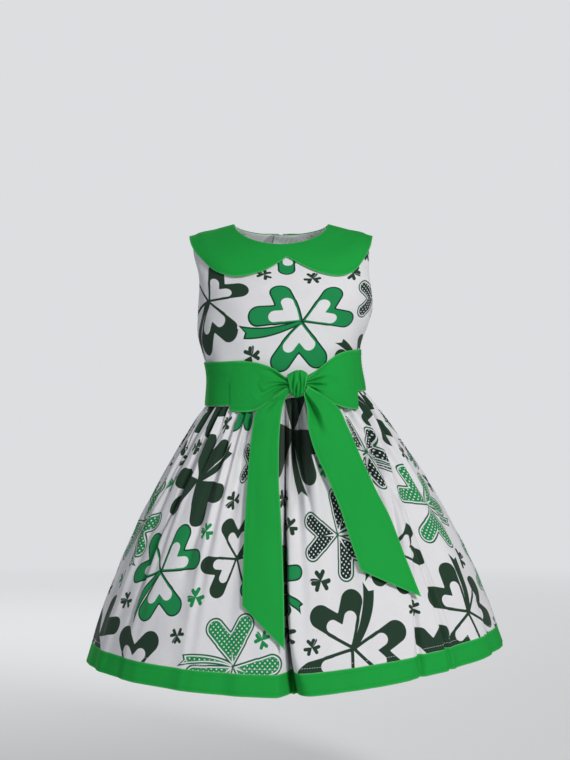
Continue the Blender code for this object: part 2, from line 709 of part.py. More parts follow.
def main():
    clear_scene()
    made = bpy.data.collections.new(COLLECTION)
    bpy.context.scene.collection.children.link(made)
    make_materials()
    build_bodice()
    build_collar()
    build_skirt("front", True)
    build_skirt("back", False)
    build_sash()
    build_knot()
    build_loop("bow_loop_left", LEFT_LOOP)
    build_loop("bow_loop_right", RIGHT_LOOP)
    build_tail("sash_tail_left", LEFT_TAIL)
    build_tail("sash_tail_right", RIGHT_TAIL)
    for number, rise in enumerate(BUTTON_RISES, start=1):
        build_button(f"button_{number}", rise)


main()
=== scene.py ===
"""Looks of a child's gathered dress: clover print cotton, green collar, hem band, sash and bow.

Metres, +Z up, the front faces -Y. Left and right are the viewer's, from the front. Each cloth
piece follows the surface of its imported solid, with finer folds, a thinner wall and its sewing.
"""

import math
from collections import namedtuple

import bpy
import numpy as np
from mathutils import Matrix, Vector


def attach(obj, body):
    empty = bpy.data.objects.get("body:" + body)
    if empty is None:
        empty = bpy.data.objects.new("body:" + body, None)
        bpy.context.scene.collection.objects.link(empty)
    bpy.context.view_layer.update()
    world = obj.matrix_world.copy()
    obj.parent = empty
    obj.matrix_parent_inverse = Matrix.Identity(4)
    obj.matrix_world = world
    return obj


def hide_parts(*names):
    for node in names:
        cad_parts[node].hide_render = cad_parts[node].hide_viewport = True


BODY = "root"
SEED = 17


def rows_of(kind, *rows):
    """A table: one row for each section, fold, crease or motif, its columns named by the kind."""
    return tuple(kind(*row) for row in rows)


# Walls of the shown cloth, and how far pieces lie from each other
PRINT_WALL = 0.0007
GREEN_WALL = 0.0011
SEAM_GAP = 0.0004
LAY_GAP = 0.0005
SOLID_WALL = 0.0012
SOLID_DOUBLE_WALL = 0.0014
COLLAR_GAP = 0.0015
# Rows near a cloth edge, as shares of half the wall, so that the edge can be rounded
EDGE_STEPS = (0.0, 0.08, 0.3, 0.65, 1.0)
# The least length that a normal is divided by
TINY = 1e-12

# The body that wears the dress leans a little, and its skirt is hitched up on the right
WAIST_SHIFT = 0.0048
Lean = namedtuple("Lean", "z shift")
BODY_LEAN = rows_of(
    Lean,
    (-0.260, WAIST_SHIFT),
    (-0.190, WAIST_SHIFT),
    (-0.155, 0.0020),
    (-0.130, 0.0014),
    (-0.100, 0.0050),
    (-0.075, 0.0050),
    (-0.055, 0.0028),
    (-0.035, 0.0004),
    (0.003, 0.0000),
)
HITCH = 0.0093
HITCH_REACH = 0.045
HITCH_FULL = 0.050
HITCH_FADE = 0.060

# A point behind each piece, which tells its inner side from its outer one
BODICE_WITHIN = (0.0, 0.0, -0.12)
SASH_WITHIN = (WAIST_SHIFT, 0.0, -0.18)
SKIRT_WITHIN = (0.0, 0.0, -0.35)
BAND_WITHIN = (0.0, 0.0, -0.45)
TAIL_WITHIN = (0.0, 0.0, -0.30)

# Bodice sections, from the waist seam up over the shoulder to the neckline
Ring = namedtuple("Ring", "rise width front back side_z front_z back_z power")
BODICE_RINGS = rows_of(
    Ring,
    (0.000, 0.0946, 0.0712, 0.0692, -0.2070, -0.2070, -0.2070, 2.50),
    (0.048, 0.0926, 0.0706, 0.0688, -0.1590, -0.1590, -0.1590, 2.50),
    (0.080, 0.1006, 0.0745, 0.0722, -0.1270, -0.1280, -0.1275, 2.50),
    (0.108, 0.1044, 0.0760, 0.0745, -0.0990, -0.1030, -0.1010, 2.50),
    (0.150, 0.1060, 0.0720, 0.0730, -0.0570, -0.0740, -0.0660, 2.50),
    (0.194, 0.1015, 0.0630, 0.0630, -0.0130, -0.0480, -0.0340, 2.30),
    (0.218, 0.0780, 0.0555, 0.0530, -0.0065, -0.0360, -0.0190, 2.15),
    (0.243, 0.0540, 0.0480, 0.0430, 0.0000, -0.0261, -0.0080, 2.00),
)
WAIST = BODICE_RINGS[0]
NECK_RISE = 0.243
RIDGE_ROUND = 0.12
ANGLE_STEP = 0.004
RISE_STEP = 0.0005

# Armholes, and the rows of a bodice panel below, beside and above them
ARMPIT_RISE = 0.107
ARMHOLE_TOP_RISE = 0.191
ARMHOLE_REACH = math.radians(24)
MIDDLE_FROM = 0.45
ROWS_BELOW = 36
ROWS_BESIDE = 32
ROWS_ABOVE = 18
SIDE_FADE = 0.03
NECK_FADE = 0.02
WAIST_FADE = 0.01
HALF_SEAM = 0.00005

# Centre back closing
BACK_MIDDLE = -math.pi / 2
BACK_OVERLAP = math.radians(8)
BACK_RAMP = math.radians(16)
BACK_LIFT_FROM = math.radians(9.7)
BACK_LIFT = SOLID_WALL + LAY_GAP
BUTTON_RISES = (0.076, 0.116, 0.156)
BUTTON_RADIUS = 0.0055
# Share of a button's radius and the height there, from under it round the rim to its hollow
BUTTON_PROFILE = (
    (0.00, 0.0000),
    (0.86, 0.0000),
    (0.95, 0.0004),
    (1.00, 0.0010),
    (0.99, 0.0016),
    (0.94, 0.0022),
    (0.89, 0.0024),
    (0.84, 0.0024),
    (0.78, 0.0022),
    (0.68, 0.0017),
    (0.60, 0.0015),
    (0.00, 0.0014),
)
BUTTON_FACE = 0.0014
BUTTON_SIDES = 48
HOLE_RADIUS = 0.00065
HOLE_PLACE = 0.0013
HOLE_PROFILE = ((HOLE_RADIUS, 0.0), (HOLE_RADIUS * 0.8, 0.00006), (0.0, 0.00006))
HOLE_SIDES = 16
THREAD_RADIUS = 0.00022
THREAD_OVER = 0.0001
THREAD_ARCH = 0.00035
THREAD_END = 0.7
THREAD_SWELL = 0.3
THREAD_STEPS = 9

# Flat round collar, turned a little so that its notch is right of the middle
COLLAR_START_RISE = 0.2415
COLLAR_NOTCH = math.radians(86.5)
COLLAR_SPLIT = math.radians(2.2)
COLLAR_YOKE_RISE = 0.218
COLLAR_YOKE_WIDTH = 0.078
COLLAR_YOKE_Z = -0.0065
COLLAR_COLUMNS = 110
COLLAR_ROWS = 26
COLLAR_LENGTH = 0.30
COLLAR_WIDTH = 0.055
COLLAR_SPREAD = 0.96
COLLAR_SLOPE = 0.26
COLLAR_RUN_FROM = 0.78
COLLAR_ANGLES = (-90.0, 0.0, math.degrees(COLLAR_NOTCH), 180.0, 270.0)
COLLAR_ROUND = (180.0, 90.0, 0.0, 90.0, 180.0)
Edge = namedtuple("Edge", "round rise")
COLLAR_EDGE = rows_of(
    Edge,
    (0.0, 0.2050),
    (6.0, 0.1920),
    (13.0, 0.1780),
    (23.0, 0.1660),
    (32.0, 0.1610),
    (44.0, 0.1650),
    (58.0, 0.1785),
    (72.0, 0.1845),
    (90.0, 0.1855),
    (112.0, 0.1850),
    (145.0, 0.1870),
    (163.0, 0.1890),
    (172.0, 0.1960),
    (178.0, 0.2140),
)

# Skirt: how far it stands out from the waist at the hem, and where the hem lies
SKIRT_RIGHT = 0.166
SKIRT_LEFT = 0.142
SKIRT_FRONT = 0.118
SKIRT_BACK = 0.108
HEM_POWER = 2.15
BELL = 0.45
HEM_MIDDLE_Z = -0.534
HEM_RIGHT_RISE = 0.036
HEM_LEFT_RISE = 0.0155
HEM_RIGHT_POWER = 1.4
HEM_LEFT_POWER = 1.7
BAND_SHARE = 0.076
BAND_GAP_SHARE = 0.0002
SIDE_SPREAD = 0.071
PANEL_WIDTH = 0.720
BACK_PANEL_WIDTH = 0.690
PANEL_LENGTH = 0.345
SKIRT_ROWS = 100
BAND_ROWS = 12
SKIRT_ANGLE_STEP = 0.01
SEAM_HOLD = 0.004
CREASE_FADE = 0.03

# Gathers: a count for each panel, how deep they are down the skirt, and how uneven
GATHERS = 28
GATHER_COLUMNS = 12
GATHER_PHASE = 0.125
GATHER_SINK = 0.45
Gather = namedtuple("Gather", "down depth")
GATHER_DEPTHS = rows_of(
    Gather,
    (0.00, 0.0024),
    (0.04, 0.0038),
    (0.10, 0.0040),
    (0.20, 0.0030),
    (0.35, 0.0017),
    (0.55, 0.0008),
    (0.75, 0.0003),
    (1.00, 0.0001),
)
GATHER_LEAST = 0.15
GATHER_MOST = 1.55
GATHER_SHORTEST = 0.28
GATHER_LONGEST = 1.45
GATHER_WANDER = 0.85

# Large folds of the skirt
Fold = namedtuple("Fold", "top hem depth steep slow side start at_hem")
FRONT_FOLDS = rows_of(
    Fold,
    (0.105, 0.110, 0.009, 0.016, 0.070, -1, 0.10, 0.30),
    (0.205, 0.212, 0.012, 0.012, 0.060, -1, 0.10, 0.30),
    (0.165, 0.292, 0.010, 0.012, 0.060, -1, 0.05, 0.30),
    (0.400, 0.395, 0.006, 0.040, 0.050, -1, 0.15, 0.30),
    (0.5015, 0.4905, 0.020, 0.006, 0.026, 1, 0.00, 1.00),
    (0.605, 0.612, 0.008, 0.030, 0.050, 1, 0.05, 0.30),
    (0.715, 0.712, 0.006, 0.035, 0.050, 1, 0.20, 0.30),
    (0.812, 0.818, 0.010, 0.020, 0.070, 1, 0.05, 0.30),
    (0.905, 0.900, 0.006, 0.030, 0.060, 1, 0.15, 0.30),
)
BACK_FOLDS = rows_of(
    Fold,
    (0.095, 0.100, 0.009, 0.020, 0.060, -1, 0.12, 0.30),
    (0.200, 0.190, 0.011, 0.014, 0.070, -1, 0.06, 0.30),
    (0.305, 0.320, 0.008, 0.030, 0.060, -1, 0.15, 0.30),
    (0.415, 0.410, 0.013, 0.014, 0.060, 1, 0.05, 0.70),
    (0.520, 0.530, 0.009, 0.025, 0.060, -1, 0.10, 0.30),
    (0.625, 0.640, 0.012, 0.014, 0.070, 1, 0.06, 0.30),
    (0.735, 0.740, 0.008, 0.030, 0.050, 1, 0.15, 0.30),
    (0.835, 0.850, 0.013, 0.014, 0.070, 1, 0.05, 0.50),
    (0.920, 0.915, 0.006, 0.025, 0.050, 1, 0.20, 0.30),
)
FOLD_GROWTH = 0.55
FOLD_HEAD_START = 0.10
FOLD_DEPTH_HIGH = 0.35
FOLD_SEAM_FADE = 0.06
FOLD_HEM_FROM = 0.50
FOLD_HEM_FADE = 0.45

# The centre pleat laps from the right over a deep slit, and the gathers between the tails are
# pushed back. half is half a width on the flat cloth, and lap is how far the right side laps over
Pleat = namedtuple("Pleat", "down across depth half lap")
CENTRE_PLEAT = rows_of(
    Pleat,
    (0.00, 0.4985, 0.000, 0.0035, 0.0000),
    (0.22, 0.4985, 0.010, 0.0035, 0.0010),
    (0.45, 0.4962, 0.030, 0.0034, 0.0030),
    (0.65, 0.4945, 0.038, 0.0034, 0.0040),
    (0.80, 0.4923, 0.040, 0.0036, 0.0044),
    (0.90, 0.4870, 0.038, 0.0048, 0.0042),
    (1.00, 0.4800, 0.030, 0.0072, 0.0034),
)
PLEAT_SHARP = 2.0
LAP_AT = 0.0062
LAP_HALF = 0.0050
PLEAT_COLUMNS = (0.468, 0.508, 35)
TAIL_RECESS = rows_of(
    Pleat,
    (0.00, 0.4600, 0.000, 0.0440, 0.0),
    (0.04, 0.4630, 0.012, 0.0410, 0.0),
    (0.10, 0.4680, 0.027, 0.0370, 0.0),
    (0.16, 0.4710, 0.036, 0.0340, 0.0),
    (0.22, 0.4740, 0.038, 0.0300, 0.0),
    (0.28, 0.4765, 0.031, 0.0260, 0.0),
    (0.36, 0.4785, 0.013, 0.0210, 0.0),
    (0.46, 0.4800, 0.000, 0.0175, 0.0),
)
RECESS_SHARP = 4.0

# Sash round the waist, drawn together behind the knot
SASH_LOW = 0.0004
SASH_HIGH = 0.0500
SASH_LEFT_RISE = 0.0026
PINCH_DROP = 0.029
PINCH_RIGHT = 0.075
PINCH_LEFT = 0.062
PINCH_LIFT = 0.008
PINCH_LOW_REACH = 0.024
SASH_OUT = LAY_GAP + SOLID_DOUBLE_WALL
SASH_COLUMNS = 265
SASH_ROWS = 28
SASH_RISE_FROM = 0.1
SASH_RISE_REACH = 0.5
SASH_CREASE_SHARE = 0.7
SASH_TURN = 0.12
SKIRT_OUT = 0.0023
FRONT_REACH = 0.98
FRONT_ROUNDS = 3

# Knot of the bow
KNOT_X = 0.0192
KNOT_Z = -0.1895
KNOT_HEIGHT = 0.0161
KNOT_DEPTH = 0.0085
KNOT_TOP_HALF = 0.0122
KNOT_LOW_HALF = 0.0078
KNOT_BARREL = 0.30
KNOT_BUMP = 0.0009
KNOT_BUMP_WAVE = (2.4, 0.3)
KNOT_COLUMNS = 97
KNOT_ROWS = 52
KNOT_FRONT_FROM = 0.35
KNOT_FRONT_FADE = 0.5
KNOT_END_FADE = 0.12
KNOT_DIP_SHARE = 0.5

# Bow loops: share of the way out from the knot, and the edges there
Section = namedtuple("Section", "out x top low")
LEFT_LOOP = rows_of(
    Section,
    (0.00, 0.0130, -0.1840, -0.1965),
    (0.10, 0.0055, -0.1815, -0.1960),
    (0.25, -0.0070, -0.1722, -0.2040),
    (0.45, -0.0220, -0.1662, -0.2150),
    (0.60, -0.0320, -0.1640, -0.2205),
    (0.80, -0.0460, -0.1629, -0.2220),
    (1.00, -0.0586, -0.1635, -0.2215),
)
RIGHT_LOOP = rows_of(
    Section,
    (0.00, 0.0255, -0.1840, -0.1965),
    (0.10, 0.0330, -0.1808, -0.1960),
    (0.30, 0.0470, -0.1690, -0.2045),
    (0.50, 0.0610, -0.1580, -0.2120),
    (0.65, 0.0690, -0.1535, -0.2150),
    (0.80, 0.0790, -0.1505, -0.2175),
    (1.00, 0.0896, -0.1495, -0.2187),
)
LOOP_NEAR = 0.0010
LOOP_LIFT = 0.0042
LOOP_THICK_KNOT = 0.0068
LOOP_THICK_OUT = 0.0098
# How a loop thins towards its outer end, from where it closes on the sash, and how far it sinks
Finish = namedtuple("Finish", "bend power close_from sink")
LEFT_END = Finish(1.0, 2.0, 0.50, 0.0006)
RIGHT_END = Finish(2.4, 0.60, 0.999, 0.0)
SINK_POWER = 12
LOOP_LIFT_REACH = 0.22
LOOP_PLEATS = 3.0
LOOP_PLEAT_DEPTH = 0.0012
LOOP_PLEAT_SHARE = 0.5
LOOP_PLEAT_START = 0.15
LOOP_PLEAT_FADE_FROM = 0.30
LOOP_PLEAT_FADE = 0.35
LOOP_END_FADE = 0.2
LOOP_ROWS = 34
LOOP_COLUMNS = 120
LOOP_WIDTH = 0.055
LOOP_LENGTH = 0.16

# Sash tails: share of the way down, the left and right edge there, and the distance off the skirt
Tail = namedtuple("Tail", "down left_x left_z right_x right_z off")
LEFT_TAIL = rows_of(
    Tail,
    (0.000, 0.0072, -0.1924, 0.0118, -0.1990, 0.0090),
    (0.143, -0.0114, -0.2074, 0.0050, -0.2078, 0.0076),
    (0.286, -0.0282, -0.2203, 0.0012, -0.2222, 0.0048),
    (0.429, -0.0325, -0.2375, -0.0016, -0.2480, 0.0036),
    (0.571, -0.0368, -0.2784, -0.0022, -0.2938, 0.0030),
    (0.714, -0.0403, -0.3349, 0.0005, -0.3423, 0.0030),
    (0.857, -0.0424, -0.3968, 0.0034, -0.4158, 0.0030),
    (1.000, -0.0426, -0.4354, 0.0044, -0.4819, 0.0030),
)
RIGHT_TAIL = rows_of(
    Tail,
    (0.000, 0.0268, -0.2004, 0.0312, -0.1912, 0.0140),
    (0.143, 0.0302, -0.2182, 0.0641, -0.2140, 0.0130),
    (0.286, 0.0312, -0.2390, 0.0772, -0.2378, 0.0075),
    (0.429, 0.0390, -0.2665, 0.0930, -0.2747, 0.0036),
    (0.571, 0.0536, -0.2975, 0.1096, -0.3112, 0.0030),
    (0.714, 0.0669, -0.3300, 0.1252, -0.3420, 0.0030),
    (0.857, 0.0783, -0.3654, 0.1405, -0.3830, 0.0030),
    (1.000, 0.0897, -0.3976, 0.1583, -0.4283, 0.0030),
)
TAIL_CROWN = 0.0012
TAIL_ROWS = 120
TAIL_COLUMNS = 30
TAIL_CREASE_SHARE = 0.8

# Creases, listed one by one as soft troughs between two points of a piece. a runs along the piece
# and b across it, both from 0 to 1, and depth below zero makes a ridge
Crease = namedtuple("Crease", "a b end_a end_b depth width")
FRONT_CREASES = rows_of(
    Crease,
    (0.450, 0.14, 0.436, 0.50, 0.0070, 0.0040),
    (0.472, 0.04, 0.478, 0.36, 0.0070, 0.0036),
    (0.806, 0.10, 0.803, 0.48, 0.0085, 0.0030),
    (0.800, 0.34, 0.820, 0.80, 0.0080, 0.0032),
    (0.214, 0.12, 0.272, 0.60, 0.0085, 0.0030),
    (0.268, 0.16, 0.279, 0.56, 0.0075, 0.0030),
    (0.262, 0.62, 0.286, 1.10, 0.0080, 0.0032),
    (0.2235, 0.52, 0.2290, 1.10, 0.0080, 0.0032),
    (0.400, 0.02, 0.375, 0.62, 0.0060, 0.0080),
    (0.330, 0.03, 0.300, 0.52, 0.0075, 0.0080),
    (0.262, 0.02, 0.226, 0.40, 0.0075, 0.0070),
    (0.205, 0.02, 0.168, 0.34, 0.0070, 0.0060),
    (0.150, 0.02, 0.130, 0.50, 0.0060, 0.0070),
    (0.560, 0.02, 0.575, 0.60, 0.0060, 0.0070),
    (0.640, 0.02, 0.632, 0.44, 0.0060, 0.0085),
    (0.700, 0.02, 0.716, 0.60, 0.0070, 0.0075),
    (0.742, 0.02, 0.752, 0.26, 0.0070, 0.0050),
    (0.790, 0.02, 0.800, 0.44, 0.0070, 0.0065),
    (0.860, 0.03, 0.868, 0.36, 0.0060, 0.0060),
)
BACK_CREASES = rows_of(
    Crease,
    (0.130, 0.02, 0.140, 0.44, 0.0070, 0.0070),
    (0.215, 0.02, 0.200, 0.34, 0.0070, 0.0060),
    (0.290, 0.02, 0.300, 0.58, 0.0060, 0.0080),
    (0.370, 0.02, 0.352, 0.40, 0.0075, 0.0060),
    (0.455, 0.02, 0.462, 0.62, 0.0080, 0.0075),
    (0.520, 0.02, 0.534, 0.32, 0.0070, 0.0055),
    (0.600, 0.02, 0.592, 0.50, 0.0070, 0.0080),
    (0.680, 0.02, 0.700, 0.42, 0.0075, 0.0065),
    (0.765, 0.02, 0.760, 0.54, 0.0065, 0.0080),
    (0.850, 0.02, 0.870, 0.36, 0.0070, 0.0060),
)
BODICE_FRONT_SIZE = (0.235, 0.243)
BODICE_FRONT_CREASES = rows_of(
    Crease,
    (0.10, 0.22, 0.34, 0.42, 0.0014, 0.008),
    (0.08, 0.34, 0.24, 0.50, 0.0010, 0.006),
    (0.90, 0.20, 0.70, 0.36, 0.0013, 0.008),
    (0.92, 0.36, 0.78, 0.50, 0.0010, 0.006),
    (0.30, 0.20, 0.36, 0.34, 0.0009, 0.006),
    (0.62, 0.20, 0.58, 0.36, 0.0010, 0.007),
    (0.22, 0.60, 0.34, 0.72, 0.0009, 0.007),
    (0.80, 0.58, 0.68, 0.72, 0.0009, 0.007),
)
BODICE_BACK_SIZE = (0.130, 0.243)
BODICE_BACK_CREASES = rows_of(
    Crease,
    (0.12, 0.24, 0.60, 0.36, 0.0012, 0.008),
    (0.10, 0.42, 0.52, 0.30, 0.0010, 0.006),
    (0.30, 0.62, 0.62, 0.52, 0.0010, 0.008),
    (0.44, 0.20, 0.50, 0.34, 0.0008, 0.006),
)
SASH_SIZE = (0.560, 0.050)
SASH_CREASES = rows_of(
    Crease,
    (0.030, 0.25, 0.170, 0.48, 0.0011, 0.005),
    (0.070, 0.78, 0.190, 0.66, 0.0008, 0.004),
    (0.400, 0.32, 0.330, 0.46, 0.0011, 0.005),
    (0.470, 0.62, 0.350, 0.68, 0.0009, 0.004),
    (0.480, 0.20, 0.420, 0.14, 0.0007, 0.004),
    (0.560, 0.35, 0.640, 0.50, 0.0010, 0.005),
    (0.680, 0.70, 0.790, 0.52, 0.0010, 0.005),
    (0.820, 0.28, 0.930, 0.40, 0.0010, 0.005),
)
LOOP_SIZE = (0.075, 0.060)
LEFT_LOOP_CREASES = rows_of(
    Crease,
    (0.02, 0.58, 0.46, 0.74, 0.0060, 0.0032),
    (0.46, 0.74, 0.60, 0.46, 0.0056, 0.0026),
    (0.02, 0.22, 0.36, 0.14, 0.0030, 0.0028),
    (0.02, 0.82, 0.34, 0.90, 0.0030, 0.0024),
    (0.40, 0.34, 0.76, 0.30, 0.0018, 0.0060),
    (0.04, 0.40, 0.44, 0.46, -0.0020, 0.0032),
)
RIGHT_LOOP_CREASES = rows_of(
    Crease,
    (0.02, 0.34, 0.36, 0.40, 0.0064, 0.0028),
    (0.02, 0.58, 0.44, 0.66, 0.0056, 0.0030),
    (0.02, 0.82, 0.34, 0.90, 0.0032, 0.0026),
    (0.04, 0.14, 0.42, 0.10, 0.0020, 0.0030),
    (0.34, 0.50, 0.66, 0.62, 0.0026, 0.0060),
    (0.06, 0.46, 0.50, 0.53, -0.0020, 0.0026),
)
KNOT_SIZE = (0.0210, 0.0340)
KNOT_CREASES = rows_of(
    Crease,
    (0.14, 0.10, 0.28, 0.95, 0.0036, 0.0012),
    (0.32, -0.10, 0.48, 0.66, 0.0044, 0.0013),
    (0.68, 0.36, 0.54, 1.05, 0.0042, 0.0012),
    (0.60, -0.10, 0.70, 0.50, 0.0040, 0.0012),
    (0.90, 0.05, 0.80, 0.90, 0.0032, 0.0011),
    (0.50, 0.20, 0.38, 0.95, -0.0014, 0.0016),
)
LEFT_TAIL_SIZE = (0.255, 0.040)
LEFT_TAIL_CREASES = rows_of(
    Crease,
    (0.02, 0.50, 0.30, 0.36, 0.0022, 0.0050),
    (0.00, 0.80, 0.22, 0.80, 0.0014, 0.0036),
    (0.30, 0.70, 0.62, 0.62, 0.0010, 0.0060),
    (0.55, 0.22, 0.86, 0.34, 0.0009, 0.0060),
)
RIGHT_TAIL_SIZE = (0.250, 0.056)
RIGHT_TAIL_CREASES = rows_of(
    Crease,
    (0.02, 0.12, 0.31, 0.28, 0.0120, 0.0052),
    (0.04, 0.33, 0.28, 0.47, -0.0034, 0.0055),
    (0.08, 0.76, 0.34, 0.80, 0.0014, 0.0050),
    (0.40, 0.50, 0.78, 0.58, 0.0012, 0.0080),
)
CREASE_END = 0.25
COLLAR_WAVE = 0.0007
COLLAR_WAVES = ((5.0, 0.7), (2.0, 0.4))
# Faint unevenness of worn cloth: length of its waves and their depth
RUMPLE_WAVES = 7
RUMPLE_STRETCH = (0.6, 1.7)
BODICE_RUMPLE = (0.040, 0.0005)
SKIRT_RUMPLE = (0.045, 0.0007)
SASH_RUMPLE = (0.05, 0.0003)
TAIL_RUMPLE = (0.05, 0.0004)

# Clovers of the print: middle on the flat cloth, up from the panel's lower edge, turn in degrees,
# radius, ink and kind
STEM_BEND = 0.36
Clover = namedtuple("Clover", "u v turn size ink kind bend", defaults=(STEM_BEND,))
DARK, MID, DEEP = 0.0, 0.5, 1.0
PLAIN, HEARTS, DOTTED = 0.0, 1.0, 2.0
BODICE_CLOVERS = rows_of(
    Clover,
    (0.022, 0.091, -64, 0.064, MID, HEARTS, -STEM_BEND),
    (-0.097, 0.118, -40, 0.058, DARK, HEARTS),
    (0.138, 0.122, 90, 0.050, DEEP, DOTTED),
    (0.015, 0.218, 20, 0.050, MID, HEARTS),
    (0.108, 0.020, 205, 0.050, DARK, HEARTS),
)
BACK_LEFT_CLOVERS = rows_of(
    Clover,
    (0.052, 0.120, 20, 0.052, MID, HEARTS),
    (-0.020, 0.060, 140, 0.048, DARK, HEARTS),
)
BACK_RIGHT_CLOVERS = rows_of(
    Clover,
    (-0.050, 0.070, -25, 0.052, DARK, HEARTS),
    (0.010, 0.150, 60, 0.046, DEEP, DOTTED),
)
SKIRT_CLOVERS = rows_of(
    Clover,
    (-0.180, 0.250, 110, 0.060, DARK, PLAIN),
    (-0.192, 0.137, -45, 0.062, MID, HEARTS),
    (-0.067, 0.034, -110, 0.062, MID, DOTTED),
    (-0.078, 0.158, 125, 0.052, DARK, HEARTS),
    (0.081, 0.048, 138, 0.066, DARK, HEARTS),
    (0.246, 0.060, 155, 0.064, DARK, HEARTS),
    (0.082, 0.178, 88, 0.054, DEEP, DOTTED),
    (0.258, 0.196, 44, 0.056, MID, DOTTED),
    (0.158, 0.150, -85, 0.050, DARK, HEARTS),
    (0.178, 0.012, -6, 0.046, DARK, PLAIN),
    (-0.205, 0.002, 0, 0.066, DARK, HEARTS),
    (-0.020, 0.128, 74, 0.046, MID, PLAIN, -STEM_BEND),
    (0.172, 0.270, 40, 0.046, DEEP, DOTTED),
    (0.246, 0.318, 200, 0.044, DARK, PLAIN),
    (0.022, 0.304, -10, 0.070, DARK, PLAIN),
    (-0.056, 0.275, 95, 0.046, DEEP, DOTTED),
    (-0.118, 0.356, 180, 0.046, MID, PLAIN),
    (-0.296, 0.192, 10, 0.058, MID, DOTTED),
    (-0.300, 0.040, -40, 0.056, DARK, PLAIN),
)
BACK_SKIRT_CLOVERS = rows_of(
    Clover,
    (-0.020, 0.100, 40, 0.058, MID, HEARTS),
    (0.130, 0.150, -15, 0.056, DARK, HEARTS),
    (-0.150, 0.170, 75, 0.056, DARK, PLAIN),
)

# How the print is scattered between those
CLOVER_GAP = 0.006
SPRIG_GAP = 0.005
CLOVER_SIZES = (0.046, 0.062)
SPRIG_SIZES = (0.010, 0.0135)
CLOVER_TRIES = 900
SPRIG_TRIES = 2600
BIG_INKS = ((DARK, HEARTS), (MID, HEARTS), (MID, DOTTED), (DEEP, DOTTED), (DARK, PLAIN))
SPRIG_INKS = ((DARK, PLAIN), (MID, PLAIN), (DARK, PLAIN))
PRINT_MARGIN = 0.01
NEAR_MARGIN = 0.02
# Points on a clover that are kept clear of others: how many turns and rings, and their reach
TURNS = 72
RINGS = (0.1, 1.0, 7)
POINTS_REACH = 1.05
POINTS_OUT = 0.001
UNPRINTED = 0.01

# Bodice panels: the angles they run between, then their size and creases, their clovers and the
# flat size and area of their cut
Panel = namedtuple("Panel", "node start end columns shape clovers cut")
FRONT_SHAPE = (BODICE_FRONT_SIZE, BODICE_FRONT_CREASES)
BACK_SHAPE = (BODICE_BACK_SIZE, BODICE_BACK_CREASES)
FRONT_CUT = ((0.290, 0.250), 0.0500)
BACK_CUT = ((0.165, 0.250), 0.0300)
RIGHT_END_ANGLE = BACK_MIDDLE - BACK_OVERLAP
LEFT_START_ANGLE = BACK_MIDDLE + BACK_OVERLAP
BODICE_PANELS = rows_of(
    Panel,
    ("bodice_front", 0.0, math.pi, 120, FRONT_SHAPE, BODICE_CLOVERS, FRONT_CUT),
    ("bodice_back_right", 0.0, RIGHT_END_ANGLE, 64, BACK_SHAPE, BACK_RIGHT_CLOVERS, BACK_CUT),
    ("bodice_back_left", LEFT_START_ANGLE, -math.pi, 64, BACK_SHAPE, BACK_LEFT_CLOVERS, BACK_CUT),
)

# The clover's shape, for a radius of one
POINT_Y = 0.020
POINT_ROUND = 0.030
BODY_X = 0.140
BODY_Y = 0.500
BODY_ROUND = 0.215
LOBE_X = 0.330
LOBE_Y = 0.745
LOBE_ROUND = 0.205
INNER_SIZE = 0.56
INNER_START = 0.080
STEM_LENGTH = 1.06
STEM_THIN = 0.050
STEM_WIDE = 0.125
STEM_NOTCH = 0.60

# Print lines and dots
INK_SOFT = 0.0005
OUTLINE = 0.0019
LINE_IN = 0.0027
LINE_HALF = 0.0008
DOTS_FROM = 0.0043
DOT_PITCH = 0.0046
DOT_RADIUS = 0.0010

# Colours of the cloth and the inks
WHITE_COTTON = (0.80, 0.80, 0.83)
DARK_INK = (0.020, 0.050, 0.030)
MID_INK = (0.012, 0.270, 0.080)
DEEP_INK = (0.006, 0.028, 0.020)
OUTLINE_COLOUR = (0.005, 0.045, 0.026)
DOTTED_OUTLINE = (0.010, 0.130, 0.055)
GREEN = (0.013, 0.370, 0.056)
# Painted highlight and painted shade of the green cloth: GREEN_LIT along its edges, and the groove
# colour on a faint line beside them
GREEN_LIT = (0.110, 0.560, 0.170)
GREEN_GROOVE_SHADE = (0.004, 0.190, 0.025)
WRONG_SIDE_FADE = 0.62
# Where the inks start on the ramp, and how near a face's ink or kind is when it is the same
MID_INK_FROM = 0.25
DEEP_INK_FROM = 0.75
SAME_INK = 0.25
SAME_KIND = 0.5

# Cloth surfaces, then the weave, slubs and crumples that are too small for the mesh
Surface = namedtuple("Surface", "sheen sheen_rough specular tint crumple")
PRINT_SURFACE = Surface(0.12, 0.45, 0.15, (1.0, 1.0, 1.0), 0.9)
GREEN_SURFACE = Surface(0.05, 0.40, 0.12, (0.20, 0.95, 0.35), 1.0)
WEAVE_PITCH = 0.00062
WEAVE_STRENGTH = 0.35
WEAVE_DEPTH = 0.0004
WEAVE_HEIGHT = 0.25
SLUB_SCALE = 900.0
SLUB_STRETCH = 0.12
SLUB_HEIGHT = 0.45
CRUMPLE_SCALE = 38.0
ROUGHNESS = 0.70
SLUB_ROUGH = 0.10
CRUMPLE_ROUGH = 0.08
TONE = 0.88
TONE_SCALE = 14.0
TONE_PATCHES = 0.14
TONE_SLUB = 0.05
TONE_WEAVE = 0.02

# Green pieces: a painted highlight along each edge, and a faint painted groove shade beside it
EDGE_HIGHLIGHT_WIDTH = 0.0011
EDGE_HIGHLIGHT_SOFT = 0.5
EDGE_HIGHLIGHT_SHARE = 0.55
GROOVE_IN = 0.0046
GROOVE_HALF = 0.0007
GROOVE_SOFT = 0.6
GROOVE_SHADE_SHARE = 0.12

